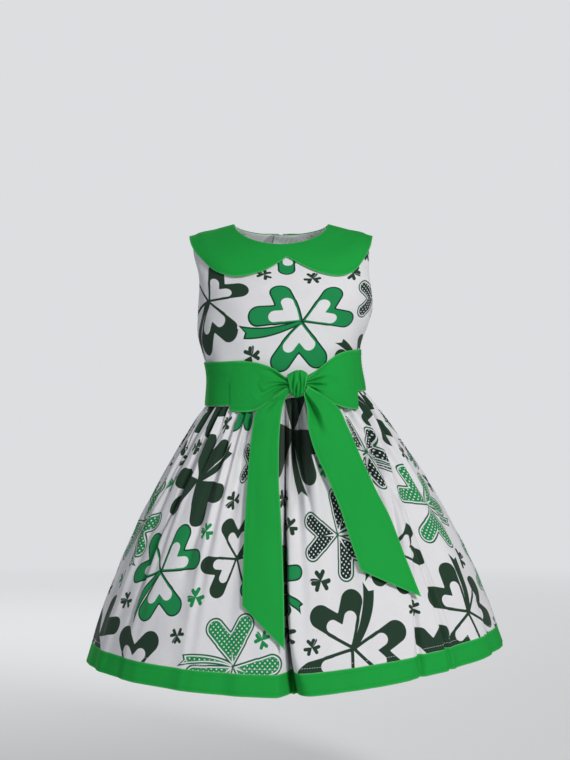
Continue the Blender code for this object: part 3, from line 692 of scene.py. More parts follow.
# Small parts and the floor: two near colours, with a fine grain between them
Grain = namedtuple("Grain", "name colour other roughness scale bump")
THREAD_GRAIN = Grain("white_thread", (0.82, 0.83, 0.83), (0.70, 0.72, 0.72), 0.65, 3000.0, 0.4)
BUTTON_GRAIN = Grain("button", (0.84, 0.85, 0.84), (0.78, 0.79, 0.78), 0.25, 400.0, 0.05)
# The button holes are dark discs on the button's face: painted shade in the holes
HOLE_SHADE_GRAIN = Grain("painted_hole_shade", (0.05, 0.05, 0.05), (0.09, 0.09, 0.09), 0.8, 900.0, 0.1)
FLOOR_GRAIN = Grain("floor", (0.86, 0.87, 0.88), (0.90, 0.91, 0.92), 0.8, 1.5, 0.05)
GRAIN_ROUGH = 0.15
GRAIN_DEPTH = 0.0002

# Sewing
STITCH_LENGTH = 0.0021
STITCH_PITCH = 0.0028
STITCH_RADIUS = 0.00024
STITCH_SIDES = 6
STITCH_RINGS = ((-0.50, 0.0), (-0.34, 0.85), (0.0, 1.0), (0.34, 0.85), (0.50, 0.0))
STITCH_LIFT = 0.25
STITCH_IN = 0.0055
PLACKET_STITCH_IN = 0.0030
ARMHOLE_STITCH_FROM = 0.001
ARMHOLE_EDGES = (
    ("bodice_front", "first_column"),
    ("bodice_front", "last_column"),
    ("bodice_back_right", "first_column"),
    ("bodice_back_left", "last_column"),
)
# The sash's side seam has longer stitches: their pitch, length and radius
SASH_STITCH = (0.0038, 0.0024, 0.00060)
SASH_STITCH_ANGLE = 0.23
SASH_STITCH_END = 0.002
SASH_STITCH_OUT = 0.0008
SASH_STITCH_POINTS = 40

# Camera and lights
CAMERA_PLACE = (0.0048, -2.2, -0.1848)
CAMERA_LENS = 86.84
SENSOR = 36.0
Light = namedtuple("Light", "name place size power colour")
LIGHTS = rows_of(
    Light,
    ("key", (1.15, -2.1, 0.80), 0.6, 40.0, (1.0, 0.985, 0.96)),
    ("fill", (-1.7, -1.9, 0.35), 1.6, 5.0, (0.93, 0.96, 1.0)),
    ("back", (-0.9, 2.3, 1.0), 1.2, 34.0, (1.0, 0.99, 0.97)),
)
LIGHT_TARGET = (0.0, 0.0, -0.28)
WORLD_LIGHT = (0.90, 0.92, 0.97)
WORLD_POWER = 0.22
WORLD_SEEN = (0.72, 0.73, 0.75)
FLOOR_Z = -0.72
FLOOR_RADIUS = 3.2
FLOOR_SIDES = 64
FLOOR_FADE_FROM = 0.5


def smooth(value):
    """A soft step from 0 to 1."""
    value = np.clip(value, 0.0, 1.0)
    return value * value * (3.0 - 2.0 * value)


def curve(x, table, column):
    """A smooth curve through one named column of a table whose first column rises."""
    knots = np.array([row[0] for row in table])
    values = np.array([getattr(row, column) for row in table])
    slopes = np.gradient(values, knots)
    place = np.clip(np.searchsorted(knots, x, side="right") - 1, 0, len(knots) - 2)
    span = knots[place + 1] - knots[place]
    t = np.clip((x - knots[place]) / span, 0.0, 1.0)
    low = (1 + 2 * t) * (1 - t) ** 2 * values[place] + t * (1 - t) ** 2 * span * slopes[place]
    high = t * t * (3 - 2 * t) * values[place + 1] - t * t * (1 - t) * span * slopes[place + 1]
    return low + high


def ring(angle, right, left, front, back, power):
    """A rounded oval: angle 0 is the right side, a quarter turn is the front."""
    c = np.cos(angle)
    s = np.sin(angle)
    scale = (np.abs(c) ** power + np.abs(s) ** power) ** (-1.0 / power)
    x = np.where(c > 0, right, left) * c * scale
    y = -np.where(s > 0, front, back) * s * scale
    return x, y


def panel_angle(across, is_front):
    """Across a panel from the right seam to the left seam, evenly spaced along the cloth."""
    turn = math.pi * across + SIDE_SPREAD * np.sin(2 * math.pi * across)
    return turn if is_front else -turn


def lean(z):
    """How far the bodice leans to the right at a height."""
    return curve(z, BODY_LEAN, "shift")


def hitch(x):
    """How far the waist seam is hitched up at this place across."""
    return HITCH * np.tanh(x / HITCH_REACH)


def ridge_fall(share):
    """From 0 on the shoulder ridge to 1 at the front or back, level where it crosses the ridge."""
    full = math.hypot(1.0, RIDGE_ROUND) - RIDGE_ROUND
    return (np.hypot(share, RIDGE_ROUND) - RIDGE_ROUND) / full


def torso_base(angle, rise, run_on):
    """Points of the bodice's surface. A collar runs on past the shoulders instead of round them."""
    width, front, back, side_z, front_z, back_z, power = (
        curve(rise, BODICE_RINGS, column) for column in Ring._fields[1:]
    )
    if run_on:
        below = COLLAR_YOKE_RISE - rise
        near = smooth((np.abs(np.cos(angle)) - COLLAR_RUN_FROM) / (1.0 - COLLAR_RUN_FROM))
        further = COLLAR_YOKE_WIDTH + COLLAR_SPREAD * below - width
        higher = COLLAR_YOKE_Z - COLLAR_SLOPE * below - side_z
        width = width + near * np.maximum(further, 0.0)
        side_z = side_z + near * np.maximum(higher, 0.0)
    x, y = ring(angle, width, width, front, back, power)
    depth = np.where(y < 0, front, back)
    end_z = np.where(y < 0, front_z, back_z)
    z = side_z + (end_z - side_z) * ridge_fall(np.abs(y) / depth)
    z = z + hitch(x) * (1.0 - smooth((rise - HITCH_FULL) / HITCH_FADE))
    return np.stack([x + lean(z), y, z], axis=-1)


def torso(angle, rise, out=0.0, run_on=False):
    """Points of the bodice's outer side, moved out by a distance."""
    inner = np.clip(rise, RISE_STEP, NECK_RISE - RISE_STEP)
    before = torso_base(angle - ANGLE_STEP, inner, run_on)
    after = torso_base(angle + ANGLE_STEP, inner, run_on)
    lower = torso_base(angle, inner - RISE_STEP, run_on)
    upper = torso_base(angle, inner + RISE_STEP, run_on)
    normal = -np.cross(after - before, upper - lower)
    normal = normal / np.linalg.norm(normal, axis=-1, keepdims=True)
    return torso_base(angle, rise, run_on) + normal * np.asarray(out)[..., None]


def skirt_sizes(down):
    """Half widths, depths and roundness of the skirt at a share of the way down."""
    flare = (1.0 + BELL) * down - BELL * down * down
    right = WAIST.width + SKIRT_RIGHT * flare
    left = WAIST.width + SKIRT_LEFT * flare
    front = WAIST.front + SKIRT_FRONT * flare
    back = WAIST.back + SKIRT_BACK * flare
    power = WAIST.power + (HEM_POWER - WAIST.power) * flare
    return right, left, front, back, power


def waist_z(x):
    """Height of the waist seam at a place across."""
    return WAIST.side_z - SEAM_GAP + hitch(x)


def hem_z(side):
    """Height of the hem where the cloth is this share of the way to the side, left below zero."""
    reach = np.abs(side)
    right = HEM_RIGHT_RISE * reach**HEM_RIGHT_POWER
    left = HEM_LEFT_RISE * reach**HEM_LEFT_POWER
    return HEM_MIDDLE_Z + np.where(side > 0, right, left)


def fold_depth(across, down, folds):
    """How far the large folds draw the cloth in, steep on one side of each line."""
    depth = np.zeros(np.broadcast(across, down).shape)
    for fold in folds:
        away = (across - (fold.top + (fold.hem - fold.top) * down)) * fold.side
        slow_side = 1.0 - smooth(away / fold.slow)
        steep_side = 1.0 - smooth(-away / fold.steep)
        shape = np.where(away > 0, slow_side, steep_side)
        grow = smooth((down - fold.start) / FOLD_GROWTH + FOLD_HEAD_START)
        grow = grow * (FOLD_DEPTH_HIGH + (1.0 - FOLD_DEPTH_HIGH) * down)
        grow = grow * (1.0 - (1.0 - fold.at_hem) * smooth((down - FOLD_HEM_FROM) / FOLD_HEM_FADE))
        depth += fold.depth * grow * shape
    return depth * smooth(down / FOLD_SEAM_FADE)


def uneven(across, count, low, high, seed):
    """A value that wanders between two limits, with one knot for each gather."""
    values = np.random.default_rng(seed).uniform(low, high, count + 2)
    place = np.clip(across, 0.0, 1.0) * count
    first = np.floor(place).astype(int)
    share = smooth(place - first)
    return values[first] * (1.0 - share) + values[first + 1] * share


def gather_wave(across, down, seed):
    """Soft uneven gathers that die away down the skirt, some sooner than others."""
    wander = uneven(across, GATHERS // 2, -GATHER_WANDER, GATHER_WANDER, seed)
    wave = -np.cos(2 * math.pi * (GATHERS * across + wander - GATHER_PHASE)) - GATHER_SINK
    strength = uneven(across, GATHERS, GATHER_LEAST, GATHER_MOST, seed + 1)
    length = uneven(across, GATHERS, GATHER_SHORTEST, GATHER_LONGEST, seed + 2)
    return wave * strength * curve(np.clip(down / length, 0.0, 1.0), GATHER_DEPTHS, "depth")


def skirt(across, down, is_front):
    """Points of the skirt's outer side."""
    angle = panel_angle(across, is_front)
    right, left, front, back, power = skirt_sizes(down)
    x, y = ring(angle, right, left, front, back, power)
    x_next, y_next = ring(angle + SKIRT_ANGLE_STEP, right, left, front, back, power)
    normal = np.stack([-(y_next - y), x_next - x], axis=-1)
    normal /= np.linalg.norm(normal, axis=-1, keepdims=True)
    size = (PANEL_WIDTH, PANEL_LENGTH)
    seed = SEED if is_front else 2 * SEED
    folds = FRONT_FOLDS if is_front else BACK_FOLDS
    creases = FRONT_CREASES if is_front else BACK_CREASES
    move = gather_wave(across, down, seed) - fold_depth(across, down, folds)
    move = move + rumple(across * size[0], down * size[1], seed, SKIRT_RUMPLE)
    move = move - crease_depth(across, down, size, creases) * smooth(down / CREASE_FADE)
    lap = 0.0
    if is_front:
        move = move - pleat_depth(across, down, TAIL_RECESS, RECESS_SHARP)
        move = move - pleat_depth(across, down, CENTRE_PLEAT, PLEAT_SHARP)
        lap = pleat_lap(across, down)
    side = x / np.where(x > 0, right, left)
    waist_x, _ = ring(angle, WAIST.width, WAIST.width, WAIST.front, WAIST.back, WAIST.power)
    z = waist_z(waist_x) + (hem_z(side) - waist_z(waist_x)) * down
    x = x + normal[..., 0] * move + WAIST_SHIFT - lap
    return np.stack([x, y + normal[..., 1] * move * seam_hold(across), z], axis=-1)


def pleat_right(across, down, table):
    """Distance on the flat cloth to the right of a pleat's line."""
    return (curve(down, table, "across") - across) * PANEL_WIDTH


def pleat_depth(across, down, table, sharp):
    """How far a pleat pushes the cloth back around its line."""
    away = np.abs(pleat_right(across, down, table)) / curve(down, table, "half")
    return curve(down, table, "depth") * np.exp(-(away**sharp))


def pleat_lap(across, down):
    """How far the cloth right of the centre pleat is drawn over it."""
    away = pleat_right(across, down, CENTRE_PLEAT) - LAP_AT
    return curve(down, CENTRE_PLEAT, "lap") * np.exp(-((away / LAP_HALF) ** 2))


def skirt_columns(wall, is_front):
    """Shares across a skirt panel, closer together at the centre pleat."""
    columns = steps(GATHERS * GATHER_COLUMNS, PANEL_WIDTH, wall)
    if is_front:
        columns = np.sort(np.concatenate([columns, np.linspace(*PLEAT_COLUMNS)]))
    return columns[None, :]


def seam_hold(across):
    """The two panels meet at their side seams, so nothing moves their edges forward or back."""
    return smooth(across / SEAM_HOLD) * smooth((1.0 - across) / SEAM_HOLD)


def front_y(x, z):
    """Depth of the outermost cloth at the front, sash above the waist seam and skirt below it."""
    x = x - WAIST_SHIFT
    seam = waist_z(x)
    down = np.clip((seam - z) / (seam - HEM_MIDDLE_Z), 0.0, 1.0)
    for _ in range(FRONT_ROUNDS):
        right, left, front, _, power = skirt_sizes(down)
        width = np.where(x > 0, right, left)
        side = np.clip(x / width, -FRONT_REACH, FRONT_REACH)
        down = np.clip((seam - z) / (seam - hem_z(side)), 0.0, 1.0)
    below = front * (1.0 - np.abs(side) ** power) ** (1.0 / power) + SKIRT_OUT
    rise = np.clip(z - seam, 0.0, SASH_HIGH)
    width, front, power = (
        curve(rise, BODICE_RINGS, column) for column in ("width", "front", "power")
    )
    side = np.clip(np.abs(x) / width, 0.0, FRONT_REACH)
    above = front * (1.0 - side**power) ** (1.0 / power) + SASH_OUT
    return -np.where(z > seam, above, np.maximum(below, above))


def armhole_angle(rise):
    """How far round from the side seam an armhole reaches at a height."""
    middle = (ARMPIT_RISE + ARMHOLE_TOP_RISE) / 2
    half = (ARMHOLE_TOP_RISE - ARMPIT_RISE) / 2
    inside = 1.0 - ((rise - middle) / half) ** 2
    return ARMHOLE_REACH * np.sqrt(np.maximum(inside, 0.0))


def back_lift(angle):
    """The left back laps over the right one, so what lies there stands out near the middle."""
    behind = np.where(angle < 0, angle, 0.0)
    away = np.abs(np.abs(behind) - math.pi / 2)
    return BACK_LIFT * (1.0 - smooth((away - BACK_LIFT_FROM) / BACK_RAMP))


def rumple(u, v, seed, size):
    """Faint unevenness of worn cloth, from a few crossing waves."""
    pitch, depth = size
    low, high = RUMPLE_STRETCH
    rng = np.random.default_rng(seed)
    total = 0.0
    for _ in range(RUMPLE_WAVES):
        turn, phase, stretch = rng.uniform((0.0, 0.0, low), (math.pi, 2 * math.pi, high))
        along = u * math.cos(turn) + v * math.sin(turn)
        total = total + np.sin(2 * math.pi * along / (pitch * stretch) + phase)
    return depth * total / math.sqrt(RUMPLE_WAVES)


def crease_depth(a, b, size, creases):
    """How deep the listed creases are at shares a along and b across a piece."""
    total = np.zeros(np.broadcast(a, b).shape)
    for crease in creases:
        run_a = (crease.end_a - crease.a) * size[0]
        run_b = (crease.end_b - crease.b) * size[1]
        from_a = (a - crease.a) * size[0]
        from_b = (b - crease.b) * size[1]
        share = np.clip((from_a * run_a + from_b * run_b) / (run_a**2 + run_b**2), 0.0, 1.0)
        away = np.hypot(from_a - share * run_a, from_b - share * run_b)
        ends = CREASE_END + (1.0 - CREASE_END) * np.sin(math.pi * share)
        total += crease.depth * ends * np.exp(-((away / crease.width) ** 2))
    return total


def steps(count, length, wall):
    """Shares from 0 to 1, evenly spaced apart from a few close to each end."""
    edge = wall / 2 / length
    close = np.array(EDGE_STEPS) * edge
    middle = np.linspace(close[-1], 1.0 - close[-1], count)[1:-1]
    return np.concatenate([close, middle, 1.0 - close[::-1]])


def lengths(points, axis):
    """Distance along the cloth from its first row or column."""
    parts = np.linalg.norm(np.diff(points, axis=axis), axis=-1)
    start = np.zeros_like(np.take(parts, [0], axis=axis))
    return np.concatenate([start, np.cumsum(parts, axis=axis)], axis=axis)


def normals(points, closed):
    """Unit normals of a grid of points."""
    if closed:
        padded = np.concatenate([points[:, -2:-1], points, points[:, 1:2]], axis=1)
        along = np.gradient(padded, axis=1)[:, 1:-1]
    else:
        along = np.gradient(points, axis=1)
    normal = np.cross(along, np.gradient(points, axis=0))
    return normal / np.maximum(np.linalg.norm(normal, axis=-1, keepdims=True), TINY)


def edge_distance(points, closed):
    """Distance of each point from the nearest edge of the cloth."""
    down = lengths(points, 0)
    near = np.minimum(down, down[-1:] - down)
    if not closed:
        along = lengths(points, 1)
        near = np.minimum(near, np.minimum(along, along[:, -1:] - along))
    return near


def flat_lengths(points):
    """Flat place of each point, as its distances along the cloth from its first column and row."""
    return np.stack([lengths(points, 1), lengths(points, 0)], axis=-1)


def quads(table):
    """Faces of four corners, from a grid of the numbers of points."""
    corners = [table[:-1, :-1], table[:-1, 1:], table[1:, 1:], table[1:, :-1]]
    return np.stack(corners, axis=-1).reshape(-1, 4)


def join(parts):
    """Several sets of vertices and faces as one."""
    starts = np.cumsum([0] + [len(verts) for verts, _ in parts[:-1]])
    faces = [faces + start for (_, faces), start in zip(parts, starts)]
    return np.concatenate([verts for verts, _ in parts]), np.concatenate(faces)


def add_object(name, data):
    """A new object in the scene."""
    made = bpy.data.objects.new(name, data)
    bpy.context.scene.collection.objects.link(made)
    return made


# The outer side and its normals of each cloth piece, for the stitches
SURFACES = {}
Fabric = namedtuple("Fabric", "slot wall right wrong")


def finish_piece(name, shape, slot, *materials):
    """A mesh object that rides on the body and carries the given materials. Its slot is not used.
    """
    verts, faces = shape
    mesh = bpy.data.meshes.new(name)
    mesh.from_pydata(verts, [], faces.tolist())
    made = add_object(name, mesh)
    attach(made, BODY)
    mesh.shade_smooth()
    for material in materials:
        mesh.materials.append(material)
    return made


def cloth(node, points, uv, fabric, within, closed=False):
    """A cloth piece with rounded edges, in place of its solid: an outer and an inner side.

    points are the grid of the outer side, uv their flat places, and within a point behind it.
    """
    rows, columns = points.shape[:2]
    normal = normals(points, closed)
    flipped = ((points - np.array(within)) * normal).sum() < 0
    if flipped:
        normal = -normal
    near = edge_distance(points, closed)
    half = fabric.wall / 2
    round_edge = half * np.sqrt(1.0 - (1.0 - np.clip(near / half, 0.0, 1.0)) ** 2)
    outer = points - normal * half + normal * round_edge[..., None]
    inner = points - normal * half - normal * round_edge[..., None]
    used = columns - 1 if closed else columns
    index = np.arange(rows * used).reshape(rows, used)
    shared = np.zeros((rows, used), bool)
    shared[[0, -1]] = True
    if not closed:
        shared[:, [0, -1]] = True
    under = np.where(shared, index, rows * used - 1 + np.cumsum(~shared).reshape(rows, used))
    verts = np.concatenate([outer[:, :used].reshape(-1, 3), inner[:, :used][~shared]])
    if closed:
        index = np.concatenate([index, index[:, :1]], axis=1)
        under = np.concatenate([under, under[:, :1]], axis=1)
    corner = np.arange(rows * columns).reshape(rows, columns)
    top, top_corner = quads(index), quads(corner)
    bottom, bottom_corner = quads(under)[:, ::-1], quads(corner)[:, ::-1]
    if flipped:
        top, top_corner = top[:, ::-1], top_corner[:, ::-1]
        bottom, bottom_corner = bottom[:, ::-1], bottom_corner[:, ::-1]
    faces = np.concatenate([top, bottom])
    corners = np.concatenate([top_corner, bottom_corner]).ravel()
    made = finish_piece("cloth_" + node, (verts, faces), fabric.slot, fabric.right, fabric.wrong)
    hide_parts(node)
    mesh = made.data
    layer = mesh.uv_layers.new(name="cloth")
    layer.uv.foreach_set("vector", uv.reshape(-1, 2)[corners].astype(np.float32).ravel())
    depth = mesh.attributes.new("edge", "FLOAT", "CORNER")
    depth.data.foreach_set("value", near.reshape(-1)[corners].astype(np.float32))
    mesh.polygons.foreach_set("material_index", np.repeat([0, 1], len(top)))
    SURFACES[node] = (outer, normal)
    middles = uv.reshape(-1, 2)[np.concatenate([top_corner, bottom_corner])].mean(axis=1)
    return made, middles


# The same arithmetic lays out the print with numbers and draws it with nodes


class Wire:
    """A number on its way through a material's nodes, with ordinary arithmetic."""

    def __init__(self, socket):
        self.socket = socket
        self.tree = socket.id_data

    def math(self, operation, *others):
        """What a node that works on this number gives."""
        node = self.tree.nodes.new("ShaderNodeMath")
        node.operation = operation
        for place, value in zip(node.inputs, (self,) + others):
            if isinstance(value, Wire):
                self.tree.links.new(value.socket, place)
            else:
                place.default_value = value
        return Wire(node.outputs[0])

    def __add__(self, other):
        return self.math("ADD", other)

    def __sub__(self, other):
        return self.math("SUBTRACT", other)

    def __mul__(self, other):
        return self.math("MULTIPLY", other)

    def __truediv__(self, other):
        return self.math("DIVIDE", other)

    def __gt__(self, other):
        return self.math("GREATER_THAN", other)

    def __lt__(self, other):
        return self.math("LESS_THAN", other)

    def __abs__(self):
        return self.math("ABSOLUTE")


def ping_pong(value, scale):
    """What the node of that name gives: up and down again between zero and the scale."""
    return np.abs((value - scale) % (2 * scale) - scale)


def both_ways(operation, numeric):
    """A function that works with numbers, and adds a node where it is given a wire."""

    def apply(value, *others):
        if isinstance(value, Wire):
            return value.math(operation, *others)
        return numeric(value, *others)

    return apply


least = both_ways("MINIMUM", np.minimum)
most = both_ways("MAXIMUM", np.maximum)
root = both_ways("SQRT", np.sqrt)
sine = both_ways("SINE", np.sin)
cosine = both_ways("COSINE", np.cos)
bearing = both_ways("ARCTAN2", np.arctan2)
mirror = both_ways("PINGPONG", ping_pong)


def heart(x, y):
    """Distance outside one side of a heart that stands on its point, one unit high."""
    y = y - POINT_Y
    run = math.hypot(BODY_X, BODY_Y - POINT_Y)
    run_x = BODY_X / run
    run_y = (BODY_Y - POINT_Y) / run
    along = x * run_x + y * run_y
    aside = abs(x * run_y - y * run_x)
    widen = (BODY_ROUND - POINT_ROUND) / run
    level = math.sqrt(1.0 - widen * widen)
    place = aside * widen + along * level
    past = along - run
    at_point = root(aside * aside + along * along) - POINT_ROUND
    at_body = root(aside * aside + past * past) - BODY_ROUND
    at_side = aside * level - along * widen - POINT_ROUND
    is_point = place < 0.0
    is_body = place > level * run
    rest = (is_point + is_body) * -1.0 + 1.0
    cone = at_point * is_point + at_body * is_body + at_side * rest
    reach = math.hypot(LOBE_X - BODY_X, LOBE_Y - BODY_Y)
    reach_x = (LOBE_X - BODY_X) / reach
    reach_y = (LOBE_Y - BODY_Y) / reach
    x = x - BODY_X
    y = y - (BODY_Y - POINT_Y)
    share = least(most(x * reach_x + y * reach_y, 0.0), reach)
    left_x = x - share * reach_x
    left_y = y - share * reach_y
    lobe = root(left_x * left_x + left_y * left_y) - LOBE_ROUND
    return least(cone, lobe)


def clover_shape(x, y, bend):
    """Distance outside a clover of radius one, and outside the small hearts in its leaves."""
    far = root(x * x + y * y)
    turn = mirror(bearing(x, y), math.pi / 3)
    side = far * sine(turn)
    out = far * cosine(turn)
    small = heart(side * (1.0 / INNER_SIZE), (out - INNER_START) * (1.0 / INNER_SIZE)) * INNER_SIZE
    down = y * (-1.0 / STEM_LENGTH)
    half = down * (STEM_WIDE - STEM_THIN) + STEM_THIN
    aside = abs(x - down * down * bend)
    end = down * STEM_LENGTH - STEM_LENGTH + (half - aside) * STEM_NOTCH
    stem = most(most(aside - half, end), down * -STEM_LENGTH)
    return least(heart(side, out), stem), small


def clover_local(u, v, middle_u, middle_v, turn, size):
    """Place on the flat cloth, as a clover of radius one has it."""
    c = cosine(turn)
    s = sine(turn)
    du = u - middle_u
    dv = v - middle_v
    return (du * c + dv * s) / size, (dv * c - du * s) / size


def distance_to(clover, points):
    """Distance of points outside a clover, in metres."""
    turn = np.radians(clover.turn)
    x, y = clover_local(points[:, 0], points[:, 1], clover.u, clover.v, turn, clover.size)
    return clover_shape(x, y, clover.bend)[0] * clover.size


def outline_points(clover):
    """Points on a clover's leaves and stem, to keep others off them."""
    turn = np.linspace(0.0, 2 * math.pi, TURNS, endpoint=False)
    grid_turn, grid_share = np.meshgrid(turn, np.linspace(*RINGS))
    points = np.stack([grid_share * np.cos(grid_turn), grid_share * np.sin(grid_turn)], axis=-1)
    points = points.reshape(-1, 2) * clover.size * POINTS_REACH + (clover.u, clover.v)
    return points[distance_to(clover, points) < POINTS_OUT]


def scatter(placed, box, sizes, gap, tries, rng, inks):
    """Adds clovers of their own at random wherever they clear all that are placed."""
    made = []
    for _ in range(tries):
        u, v = rng.uniform(box[0], box[1])
        size = rng.uniform(*sizes)
        ink, kind = inks[rng.integers(len(inks))]
        clover = Clover(u, v, rng.uniform(0.0, 360.0), size, ink, kind)
        reach = size + NEAR_MARGIN
        near = [c for c in placed + made if math.hypot(c.u - u, c.v - v) < c.size + reach]
        points = outline_points(clover) if near else None
        if all(distance_to(c, points).min() > gap for c in near):
            made.append(clover)
    return made


def lay_print(made, middles, placed, seed):
    """Gives each face the clover and the sprig that are nearest to it, for the material to draw."""
    rng = np.random.default_rng(seed)
    box = (middles.min(axis=0) - PRINT_MARGIN, middles.max(axis=0) + PRINT_MARGIN)
    big = list(placed)
    big += scatter(big, box, CLOVER_SIZES, CLOVER_GAP, CLOVER_TRIES, rng, BIG_INKS)
    small = scatter(big, box, SPRIG_SIZES, SPRIG_GAP, SPRIG_TRIES, rng, SPRIG_INKS)
    for name, clovers in (("clover", big), ("sprig", small)):
        best = np.full(len(middles), np.inf)
        place = np.zeros((len(middles), 3))
        look = np.full((len(middles), 3), UNPRINTED)
        bend = np.zeros((len(middles), 1))
        for clover in clovers:
            away = distance_to(clover, middles)
            nearer = away < best
            best[nearer] = away[nearer]
            place[nearer] = (clover.u, clover.v, math.radians(clover.turn))
            look[nearer] = (clover.size, clover.ink, clover.kind)
            bend[nearer] = clover.bend
        for part, values in (("place", place), ("look", look), ("bend", bend)):
            kind, key = ("FLOAT", "value") if part == "bend" else ("FLOAT_VECTOR", "vector")
            layer = made.data.attributes.new(f"{name}_{part}", kind, "FACE")
            layer.data.foreach_set(key, values.astype(np.float32).ravel())


def feed(tree, place, value):
    """Sets an input: to a number or a colour, or to what another node gives."""
    if isinstance(value, Wire):
        value = value.socket
    if isinstance(value, bpy.types.NodeSocket):
        tree.links.new(value, place)
    elif place.type == "RGBA":
        place.default_value = value + (1.0,)
    else:
        place.default_value = value


def add_node(tree, kind, **inputs):
    """A shader node with some of its named inputs set."""
    node = tree.nodes.new("ShaderNode" + kind)
    for name, value in inputs.items():
        feed(tree, node.inputs[name], value)
    return node


def split_vector(tree, vector):
    """The three numbers of a vector."""
    split = add_node(tree, "SeparateXYZ", Vector=vector)
    return [Wire(socket) for socket in split.outputs]


def new_material(name):
    """A new material, its node tree and its shader."""
    material = bpy.data.materials.new(name)
    material.use_nodes = True
    tree = material.node_tree
    return material, tree, tree.nodes["Principled BSDF"]


def attribute(tree, name, output):
    """What the mesh carries under this name, as a vector or as one number."""
    node = add_node(tree, "Attribute")
    node.attribute_name = name
    return node.outputs[output]


def cloth_place(tree):
    """Place on the flat cloth, in metres: as a vector and as two numbers."""
    node = add_node(tree, "UVMap")
    node.uv_map = "cloth"
    u, v, _ = split_vector(tree, node.outputs[0])
    return node.outputs[0], u, v


def noise(tree, vector, scale, detail=2.0, stretch=(1.0, 1.0, 1.0)):
    """Noise from 0 to 1. A stretch below one draws its lumps out along that axis."""
    mapping = add_node(tree, "Mapping", Vector=vector, Scale=stretch)
    node = add_node(tree, "TexNoise", Vector=mapping.outputs[0], Scale=scale, Detail=detail)
    return Wire(node.outputs[0])


def bumped(tree, shader, height, strength, distance):
    """Gives a shader a surface that is as uneven as the height says."""
    node = add_node(tree, "Bump", Strength=strength, Distance=distance, Height=height)
    feed(tree, shader.inputs["Normal"], node.outputs[0])


def mixed(tree, share, first, second, mode="MIX"):
    """A colour between two others. Each is a socket or three numbers."""
    node = add_node(tree, "Mix")
    node.data_type = "RGBA"
    node.blend_type = mode
    for place, value in ((0, share), (6, first), (7, second)):
        feed(tree, node.inputs[place], value)
    return node.outputs[2]


def inside(distance):
    """One inside a shape and zero outside it, from the distance outside it."""
    return least(most(distance * (-1.0 / INK_SOFT) + 0.5, 0.0), 1.0)


def weave(tree, vector, u, v, colour, shader, surface):
    """Plain weave, slubs and creases too small for the mesh, as bump, roughness and tone."""
    warp = sine(u * (2 * math.pi / WEAVE_PITCH))
    weft = sine(v * (2 * math.pi / WEAVE_PITCH))
    slub = noise(tree, vector, SLUB_SCALE, 2.0, (SLUB_STRETCH, 1.0, 1.0))
    slub = slub + noise(tree, vector, SLUB_SCALE, 2.0, (1.0, SLUB_STRETCH, 1.0))
    crumple = noise(tree, vector, CRUMPLE_SCALE, 3.0)
    height = warp * weft * WEAVE_HEIGHT + slub * SLUB_HEIGHT + crumple * surface.crumple
    bumped(tree, shader, height, WEAVE_STRENGTH, WEAVE_DEPTH)
    feed(tree, shader.inputs["Roughness"], slub * SLUB_ROUGH + crumple * CRUMPLE_ROUGH + ROUGHNESS)
    tone = noise(tree, vector, TONE_SCALE, 3.0) * TONE_PATCHES + slub * TONE_SLUB
    tone = tone + warp * weft * TONE_WEAVE + TONE
    grey = add_node(tree, "CombineColor", Red=tone, Green=tone, Blue=tone)
    toned = mixed(tree, 1.0, colour, grey.outputs[0], "MULTIPLY")
    feed(tree, shader.inputs["Base Color"], toned)
    feed(tree, shader.inputs["Sheen Weight"], surface.sheen)
    feed(tree, shader.inputs["Sheen Roughness"], surface.sheen_rough)
    feed(tree, shader.inputs["Sheen Tint"], surface.tint)
    feed(tree, shader.inputs["Specular IOR Level"], surface.specular)


def ink_colour(tree, ink):
    """The colour of one of the three inks."""
    node = add_node(tree, "ValToRGB", Fac=ink)
    ramp = node.color_ramp
    ramp.interpolation = "CONSTANT"
    ramp.elements[0].color = DARK_INK + (1.0,)
    ramp.elements[1].position = DEEP_INK_FROM
    ramp.elements[1].color = DEEP_INK + (1.0,)
    ramp.elements.new(MID_INK_FROM).color = MID_INK + (1.0,)
    return node.outputs[0]


def print_material(name, fade):
    """White cotton with each face's nearest sprig and clover, paler where it has a fade."""
    material, tree, shader = new_material(name)
    vector, u, v = cloth_place(tree)
    colour = WHITE_COTTON
    dot_u = mirror((u + v) * math.sqrt(0.5), DOT_PITCH / 2)
    dot_v = mirror((u - v) * math.sqrt(0.5), DOT_PITCH / 2)
    dot = inside(root(dot_u * dot_u + dot_v * dot_v) - DOT_RADIUS)
    for part in ("sprig", "clover"):
        place = split_vector(tree, attribute(tree, part + "_place", "Vector"))
        size, ink, kind = split_vector(tree, attribute(tree, part + "_look", "Vector"))
        bend = Wire(attribute(tree, part + "_bend", "Fac"))
        x, y = clover_local(u, v, *place, size)
        shape, small = clover_shape(x, y, bend)
        away = shape * size
        body = inside(away)
        colour = mixed(tree, body, colour, ink_colour(tree, ink))
        if part == "sprig":
            continue
        is_mid = abs(ink - MID) < SAME_INK
        is_hearts = abs(kind - HEARTS) < SAME_KIND
        is_dotted = abs(kind - DOTTED) < SAME_KIND
        rim = body * inside(away * -1.0 - OUTLINE)
        colour = mixed(tree, rim * is_mid, colour, OUTLINE_COLOUR)
        colour = mixed(tree, rim * is_dotted, colour, DOTTED_OUTLINE)
        heart_mark = inside(small * size) * is_hearts
        line = inside(abs(away + LINE_IN) - LINE_HALF) * is_dotted
        dots = dot * inside(away + DOTS_FROM) * is_dotted
        colour = mixed(tree, most(most(heart_mark, line), dots), colour, WHITE_COTTON)
    if fade:
        colour = mixed(tree, fade, colour, WHITE_COTTON)
    weave(tree, vector, u, v, colour, shader, PRINT_SURFACE)
    return material


